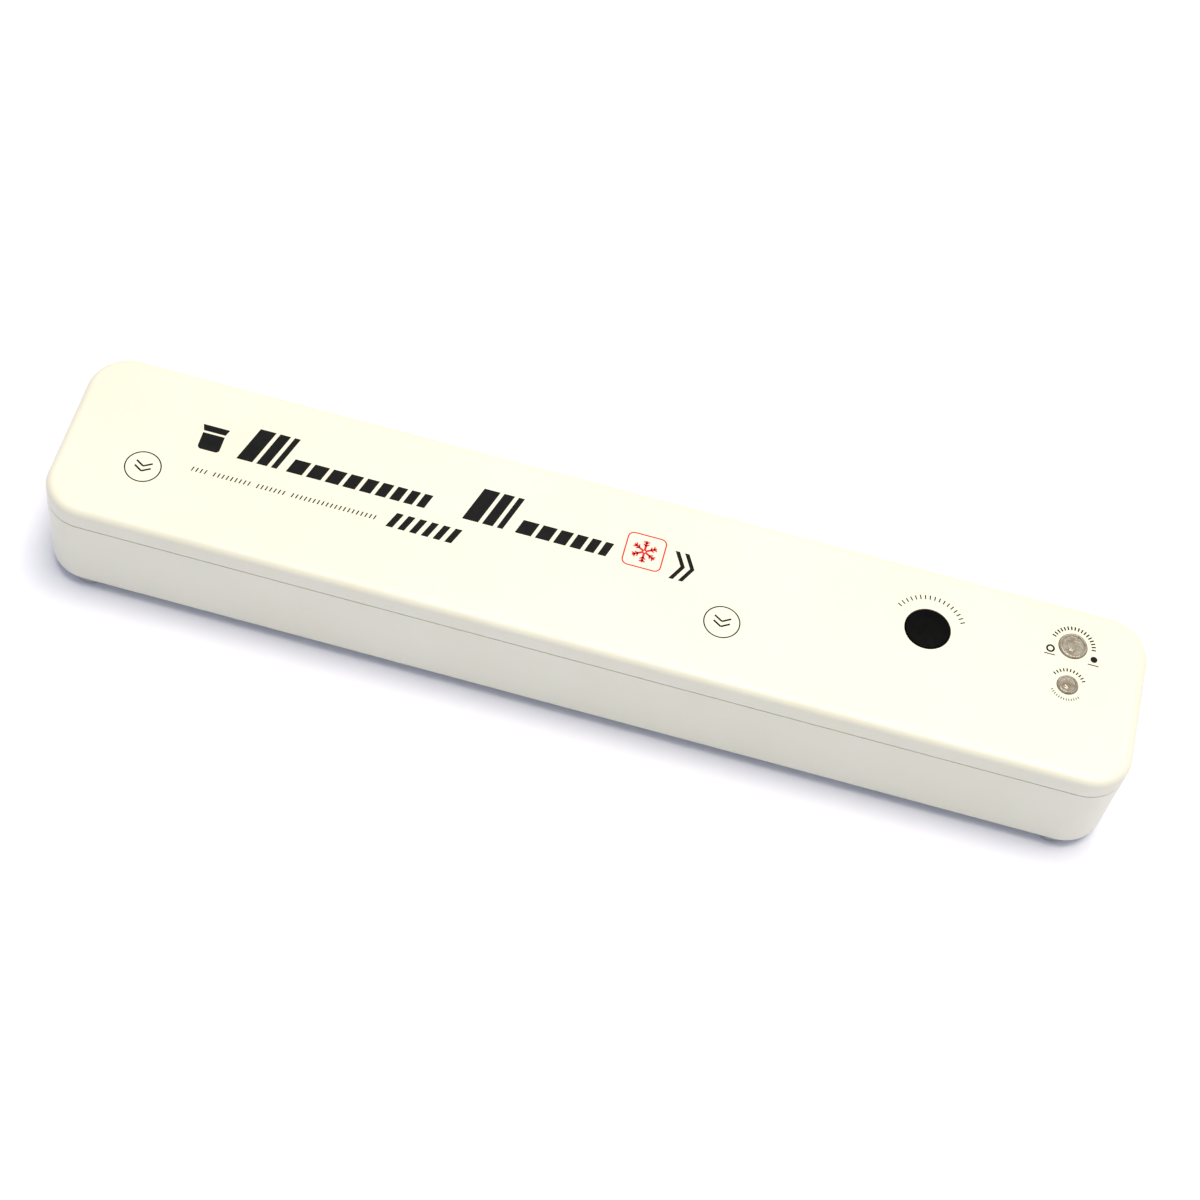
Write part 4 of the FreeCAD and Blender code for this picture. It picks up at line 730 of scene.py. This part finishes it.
# open arrowheads that show which way the cycle runs
def printRunMark(facts):
    outlines = []
    low, high = facts["base"], facts["base"] + facts["height"]
    middle = (low + high) / 2
    for n in range(facts["count"]):
        x = facts["start"] + n * facts["pitch"]
        back, tip = x + facts["line"], x + facts["reach"]
        outlines.append([(x, low), (back, low), (tip + facts["line"], middle), (tip, middle)])
        outlines.append([(tip, middle), (tip + facts["line"], middle), (back, high), (x, high)])
    printOn("runMark", outlines, "black")


hatchBand = {"start": -70.4, "base": -6.8, "width": 2.3, "height": 6.0, "pitch": 3.95, "count": 6,
             "slant": 0.38}


def printHatchBand(facts):
    outlines = [slantedBar(facts["start"] + n * facts["pitch"], facts["base"], facts["width"],
                           facts["height"], facts["slant"]) for n in range(facts["count"])]
    printOn("hatchBand", outlines, "black")


tickLine = {"base": -5.5, "start": -136.4, "pitch": 1.46, "height": 1.75, "line": 0.42, "slant": 0.25,
            "groups": (4, 9, 7, 20), "rest": 1.5, "end": -73.4}


# a fine scale of ticks under the band, in groups
def printTickLine(facts):
    outlines, x = [], facts["start"]
    for group in facts["groups"]:
        for n in range(group):
            if x > facts["end"]:
                break
            outlines.append(slantedBar(x, facts["base"], facts["line"], facts["height"], facts["slant"]))
            x += facts["pitch"]
        x += facts["rest"]
    printOn("tickLine", outlines, "black")


valveAxis, bothAxis, sealAxis = (107.6, 8.7), (154.9, 16.7), (155.2, 1.6)
arcTicks = [   # first and last are degrees, long and line are the size of each tick
    {"centre": valveAxis, "radius": 12.2, "first": 28, "last": 148, "ticks": 17, "long": 1.6, "line": 0.4},
    {"centre": bothAxis, "radius": 6.9, "first": 4, "last": 160, "ticks": 17, "long": 1.4, "line": 0.48},
    {"centre": sealAxis, "radius": 5.7, "first": 30, "last": 145, "ticks": 11, "long": 1.2, "line": 0.44},
    {"centre": sealAxis, "radius": 5.5, "first": 212, "last": 318, "ticks": 13, "long": 0.8, "line": 0.28},
]
stateMarks = {"ring": (147.8, 13.8), "dot": (162.3, 13.7), "radius": 1.15, "line": 0.62,
              "dash": 3.6, "dashDrop": 2.2, "dashLine": 0.36}


def printControlMarks(arcs, marks):
    outlines = []
    for arc in arcs:
        step = (arc["last"] - arc["first"]) / (arc["ticks"] - 1)
        for n in range(arc["ticks"]):
            turn = math.radians(arc["first"] + n * step)
            way = Vector((math.cos(turn), math.sin(turn)))
            near = Vector(arc["centre"]) + way * (arc["radius"] - arc["long"] / 2)
            outlines.append(stroke(near, near + way * arc["long"], arc["line"]))
    outlines += ringBands(marks["ring"], marks["radius"], marks["line"])
    x, y = marks["dot"]
    turns = [math.radians(degrees) for degrees in range(0, 360, 12)]
    outlines.append([(x + marks["radius"] * math.cos(a), y + marks["radius"] * math.sin(a)) for a in turns])
    for x, y in (marks["ring"], marks["dot"]):
        low = y - marks["dashDrop"]
        reach = marks["dash"] / 2
        outlines.append(stroke((x - reach, low), (x + reach, low), marks["dashLine"]))
    printOn("controlMarks", outlines, "black")


printPressMarks(pressMark)
printTitleBand(titleBand)
printBagMark(bagMark)
printFrostBadge(frostBadge)
printRunMark(runMark)
printHatchBand(hatchBand)
printTickLine(tickLine)
printControlMarks(arcTicks, stateMarks)
print("print laid on the lid")


clearButtons = [   # cap radius and the clear cap's relief, in millimetres
    {"name": "vacuumSealCap", "node": "vacuum_seal_button", "cap": 4.65, "stem": 2.5, "flange": 1.2,
     "dish": 0.5, "rim": 0.75, "eye": 1.7},
    {"name": "sealOnlyCap", "node": "seal_only_button", "cap": 3.4, "stem": 2.5, "flange": 1.2,
     "dish": 0.4, "rim": 0.55, "eye": 1.2},
]


flangeDrop = 2.05        # lid's flat top to the top of a button's flange


def middleOf(node):
    low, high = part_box(node)
    return (low + high) / 2 / mm, low / mm, high / mm


# clear push button: flat rim, dished face with a raised eye, flange and light-guide stem
def makeClearButton(facts):
    centre, low, high = middleOf(facts["node"])
    cap, rim, dish, eye = facts["cap"], facts["rim"], facts["dish"], facts["eye"]
    flange = (high.x - low.x) / 2
    flangeTop = lidTop - flangeDrop
    flangeLow = flangeTop - facts["flange"]
    top = high.z
    outline = roundCorners([
        (0.0, low.z + 0.35), (facts["stem"] * 0.6, low.z, 0.3), (facts["stem"], low.z + 0.4, 0.3),
        (facts["stem"], flangeLow, 0.2), (flange, flangeLow, 0.15), (flange, flangeTop, 0.15),
        (cap, flangeTop, 0.1), (cap, top, 0.45), (cap - rim, top, 0.2),
        (cap - rim - 0.35, top - dish, 0.2), (eye + 0.5, top - dish, 0.2), (eye, top - dish + 0.22, 0.15),
        (0.0, top - dish + 0.3)], steps=5)
    verts, faces = lathe(outline, (centre.x, centre.y), segments=96)
    piece = addPiece(facts["name"], verts, faces, finishes["button_clear"], facts["node"],
                     smooth=40)
    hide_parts(facts["node"])


for button in clearButtons:
    makeClearButton(button)

valveCap = {"cap": 7.5, "crown": 0.35, "edge": 0.7, "thickness": 1.6, "pocket": 5.5, "flange": 1.2,
            "stem": 1.6}


# releasing valve: crowned black cap, hollow underneath for its spring
def makeValveCap(facts):
    centre, low, high = middleOf("releasing_valve_button")
    top, flangeTop = high.z, lidTop - flangeDrop
    flange = (high.x - low.x) / 2
    flangeLow = flangeTop - facts["flange"]
    roof = top - facts["thickness"]
    outline = roundCorners([
        (0.0, low.z), (facts["stem"], low.z, 0.2), (facts["stem"], roof, 0.3), (facts["pocket"], roof, 0.3),
        (facts["pocket"], flangeLow, 0.2), (flange, flangeLow, 0.2), (flange, flangeTop, 0.2),
        (facts["cap"], flangeTop, 0.1), (facts["cap"], top - facts["crown"], facts["edge"]),
        (facts["cap"] * 0.55, top - facts["crown"] * 0.25, 6.0), (0.0, top)], steps=6)
    verts, faces = lathe(outline, (centre.x, centre.y), segments=120)
    piece = addPiece("releasingValveCap", verts, faces, finishes["button_black"], "releasing_valve",
                     smooth=35)
    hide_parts("releasing_valve_button")


makeValveCap(valveCap)

springStepsPerTurn, springSides = 48, 10
springs = [   # wire, coil and travel in millimetres
    {"name": "vacuumSealSpring", "node": "vacuum_seal_button_spring", "joint": "vacuum_seal_press",
     "wire": 0.35, "coil": 3.4, "turns": 2.5, "travel": 1.5},
    {"name": "sealOnlySpring", "node": "seal_only_button_spring", "joint": "seal_only_press",
     "wire": 0.35, "coil": 3.4, "turns": 2.5, "travel": 1.5},
    {"name": "releasingValveSpring", "node": "releasing_valve_spring", "joint": "releasing_valve_press",
     "wire": 0.5, "coil": 4.0, "turns": 3.5, "travel": 1.2},
]


# coil spring that stands on the liner under its button, drawn at rest
def makeSpring(facts):
    centre, low, high = middleOf(facts["node"])
    radius, sides = facts["wire"] / 2, springSides
    steps = round(facts["turns"] * springStepsPerTurn)
    verts, faces = [], []
    for n in range(steps + 1):
        turn = math.tau * facts["turns"] * n / steps
        z = low.z + radius + (high.z - low.z - 2 * radius) * n / steps
        for k in range(sides):
            around = math.tau * k / sides
            reach = facts["coil"] + radius * math.cos(around)
            verts.append((centre.x + reach * math.cos(turn), centre.y + reach * math.sin(turn),
                          z + radius * math.sin(around)))
    for n in range(steps):
        for k in range(sides):
            after = (k + 1) % sides
            faces.append((n * sides + k, n * sides + after, (n + 1) * sides + after, (n + 1) * sides + k))
    faces += [tuple(range(sides)), tuple(range(steps * sides, (steps + 1) * sides))]
    piece = addPiece(facts["name"], verts, faces, finishes["spring_steel"], "lid", smooth=40)
    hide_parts(facts["node"])
    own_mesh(piece)


for spring in springs:
    makeSpring(spring)
print("buttons, valve and springs made")


foot = {"radius": 6.0, "taper": 0.35, "edge": 0.8, "ringDepth": 0.5, "rings": (2.0, 3.6),
        "ringHalf": 0.35, "ringFloorHalf": 0.2, "waist": 0.55}


# turned foot with two tread grooves in its underside
def makeFeet(facts):
    low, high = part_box("rubber_feet")
    low, high = low / mm, high / mm
    r = facts["radius"]
    outline = [(0.0, 0.0)]
    for ring in facts["rings"]:
        outline += [(ring - facts["ringHalf"], 0.0, 0.12),
                    (ring - facts["ringFloorHalf"], facts["ringDepth"], 0.1),
                    (ring + facts["ringFloorHalf"], facts["ringDepth"], 0.1),
                    (ring + facts["ringHalf"], 0.0, 0.12)]
    outline += [(r - facts["taper"], 0.0, facts["edge"]), (r, high.z * facts["waist"], 0.8),
                (r, high.z, 0.1),
                (0.0, high.z)]
    outline = roundCorners(outline, steps=5)
    places = [(x, y) for x in (low.x + r, high.x - r) for y in (low.y + r, high.y - r)]
    verts, faces = gather(*[lathe(outline, place, segments=64) for place in places])
    piece = addPiece("treadedFeet", verts, faces, finishes["foot_rubber"], "base", smooth=35)
    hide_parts("rubber_feet")


makeFeet(foot)
print("feet made")


# a closed path round the vacuum chamber; grow is its distance outside the chamber's edge
def chamberPath(ring, grow, steps=14):
    x, y = ring["x"], ring["y"]
    r = ring["corner"] + grow
    left, right = x[0] + ring["corner"], x[1] - ring["corner"]
    front, rear = y[0] + ring["corner"], y[1] - ring["corner"]
    corners = [(right, rear, 0), (left, rear, 90), (left, front, 180), (right, front, 270)]
    path = []
    for cx, cy, start in corners:
        for k in range(steps + 1):
            a = math.radians(start + 90 * k / steps)
            way = Vector((math.cos(a), math.sin(a)))
            path.append((Vector((cx, cy)) + way * r, way))
    full = []
    for n, (here, way) in enumerate(path):      # fills the straight runs with short steps
        ahead, aheadWay = path[(n + 1) % len(path)]
        count = max(1, int((ahead - here).length / ring["step"]))
        full += [(here.lerp(ahead, k / count), way.lerp(aheadWay, k / count).normalized())
                 for k in range(count)]
    return full


# sweeps a closed profile of (across, height) along the path
def sweepLoop(path, profile):
    verts = [(*(here + way * u), z) for here, way in path for u, z in profile]
    rows, faces = len(profile), []
    for k in range(len(path)):
        for n in range(rows):
            m, after = (n + 1) % rows, (k + 1) % len(path)
            faces.append([k * rows + n, after * rows + n, after * rows + m, k * rows + m])
    return verts, faces


chamberRing = {"x": (-166.0, 64.0), "y": (-4.0, 14.0), "corner": 6.0, "step": 4.0}
spongeRing = {"middle": 4.5, "half": 2.5, "shoulder": 0.9, "lip": 1.35, "dip": 0.28, "round": 0.35}


# sponge seal: two lips with a shallow valley between, on a square foot that fills its groove
def makeSponge(name, node, body, facts):
    low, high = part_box(node)
    foot, crown = (low.z / mm, high.z / mm) if body == "base" else (high.z / mm, low.z / mm)
    up = 1 if crown > foot else -1
    half, lip = facts["half"], facts["lip"]
    side = [(half, foot, 0.0), (half, crown - up * facts["shoulder"], 0.5), (lip + 0.5, crown, 0.5),
            (lip - 0.4, crown, facts["round"]), (0.0, crown - up * facts["dip"], 1.2)]
    whole = side + [(-u, z, r) for u, z, r in reversed(side[:-1])]
    profile = roundCorners(whole, closed=True, steps=4)
    verts, faces = sweepLoop(chamberPath(chamberRing, facts["middle"]), profile)
    piece = addPiece(name, verts, faces, finishes["gasket_silicone"], body, smooth=35)
    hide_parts(node)


makeSponge("lowerSponge", "lower_gasket", "base", spongeRing)
makeSponge("upperSponge", "upper_gasket", "lid", spongeRing)

ventSeal = {"width": 2.2, "wall": 0.6, "crown": 0.55, "groove": 0.25}


# vent seal: round sponge ring with a lip at its inner edge
def makeVentSeal(facts):
    centre, low, high = middleOf("vent_port_gasket")
    outer = (high.x - low.x) / 2
    inner = outer - facts["width"]
    middle = (inner + outer) / 2
    outline = roundCorners([
        (inner, low.z, 0.1), (outer, low.z, 0.1), (outer, high.z - 0.7, 0.4),
        (outer - facts["crown"], high.z - 0.15, 0.3),
        (middle + 0.2, high.z - facts["groove"] - 0.1, 0.2), (inner + facts["wall"], high.z, 0.2),
        (inner, high.z - 0.2, 0.15)], closed=True, steps=5)
    verts, faces = lathe(outline + outline[:1], (centre.x, centre.y), segments=96)
    piece = addPiece("ventSponge", verts, faces, finishes["gasket_silicone"], "base",
                     smooth=35)
    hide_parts("vent_port_gasket")


makeVentSeal(ventSeal)

ribStrip = {"ribs": 3, "ribDepth": 0.5, "rowStep": 1.6, "rowsPerPad": 4, "waist": 0.25, "edge": 0.2,
            "shoulder": 0.3, "ribSteps": 8, "ribStart": 0.08, "ribShare": 0.84, "roundness": 0.6}


# pressing strip: round-topped ribs along it, notched across into short pads
def makeRibStrip(facts):
    centre, low, high = middleOf("pressing_strip")
    half, floor = (high.y - low.y) / 2, low.z + facts["ribDepth"]
    edge, shoulder, ribSteps = facts["edge"], facts["shoulder"], facts["ribSteps"]
    profile = [(-half, high.z), (-half, floor + shoulder), (-half + edge, floor)]
    pitch = (2 * half - 2 * edge) / facts["ribs"]
    for n in range(facts["ribs"]):
        start = -half + edge + n * pitch
        for k in range(ribSteps + 1):
            swell = math.sin(math.pi * k / ribSteps) ** facts["roundness"]
            across = start + pitch * (facts["ribStart"] + facts["ribShare"] * k / ribSteps)
            profile.append((across, floor - facts["ribDepth"] * swell))
    profile += [(half - edge, floor), (half, floor + shoulder), (half, high.z)]
    rows = int((high.x - low.x) / facts["rowStep"]) * facts["rowsPerPad"]
    verts, faces, count = [], [], len(profile)
    for k in range(rows + 1):
        x = low.x + (high.x - low.x) * k / rows
        notch = facts["waist"] if k % facts["rowsPerPad"] == 0 else 0.0
        verts += [(x, centre.y + y, max(z, low.z + notch)) for y, z in profile]
    for k in range(rows):
        for n in range(count):
            m = (n + 1) % count
            faces.append([k * count + n, (k + 1) * count + n, (k + 1) * count + m, k * count + m])
    faces += [list(range(count)), list(range(rows * count, (rows + 1) * count))[::-1]]
    piece = addPiece("ribbedStrip", verts, faces, finishes["strip_silicone"], "lid",
                     smooth=35)
    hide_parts("pressing_strip")


makeRibStrip(ribStrip)

clothTape = {"thickness": 0.16, "ribbonHalf": 1.5, "barHalf": 4.5, "barDrop": 0.4, "crestDrop": 0.2,
             "step": 1.5, "ripple": 0.03, "fray": 0.25}


# release cloth: one thin woven sheet that drapes from the deck over the bar and the ribbon,
# with a slight ripple across its top and slightly uneven long edges
def makeClothTape(facts):
    centre, low, high = middleOf("release_tape")
    half, thin = (high.y - low.y) / 2, facts["thickness"]
    deck, bar, crest = low.z, high.z - facts["barDrop"], high.z - facts["crestDrop"]
    section = [(-half, deck), (-half * 0.8, deck), (-facts["barHalf"] - 0.5, deck),
               (-facts["barHalf"] + 0.4, bar), (-facts["ribbonHalf"] - 0.5, bar),
               (-facts["ribbonHalf"], crest)]
    section += [(-y, z) for y, z in reversed(section)]
    rows, count = int((high.x - low.x) / facts["step"]), len(section)
    verts, faces = [], []
    for k in range(rows + 1):
        x = low.x + (high.x - low.x) * k / rows
        lift = facts["ripple"] * (0.5 + 0.5 * math.sin(k * 1.7) * math.sin(k * 0.31))
        for top in (0, 1):
            for n, (y, z) in enumerate(section):
                edge = facts["fray"] * (0.5 + 0.5 * math.sin(k * 2.9 + n)) if n in (0, count - 1) else 0.0
                y = y - math.copysign(edge, y)
                verts.append((x, centre.y + y, z + top * thin + (lift if top else 0.0)))
    for k in range(rows):
        a, b = k * 2 * count, (k + 1) * 2 * count
        for n in range(count - 1):
            faces.append([a + n, a + n + 1, b + n + 1, b + n])
            faces.append([a + count + n, b + count + n, b + count + n + 1, a + count + n + 1])
        for n in (0, count - 1):
            faces.append([a + n, b + n, b + count + n, a + count + n])
    for k in (0, rows):
        a = k * 2 * count
        for n in range(count - 1):
            faces.append([a + n, a + n + 1, a + count + n + 1, a + count + n])
    piece = addPiece("releaseCloth", verts, faces, finishes["release_cloth"], "base",
                     smooth=30)
    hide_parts("release_tape")


makeClothTape(clothTape)
print("seals, strip and cloth made")
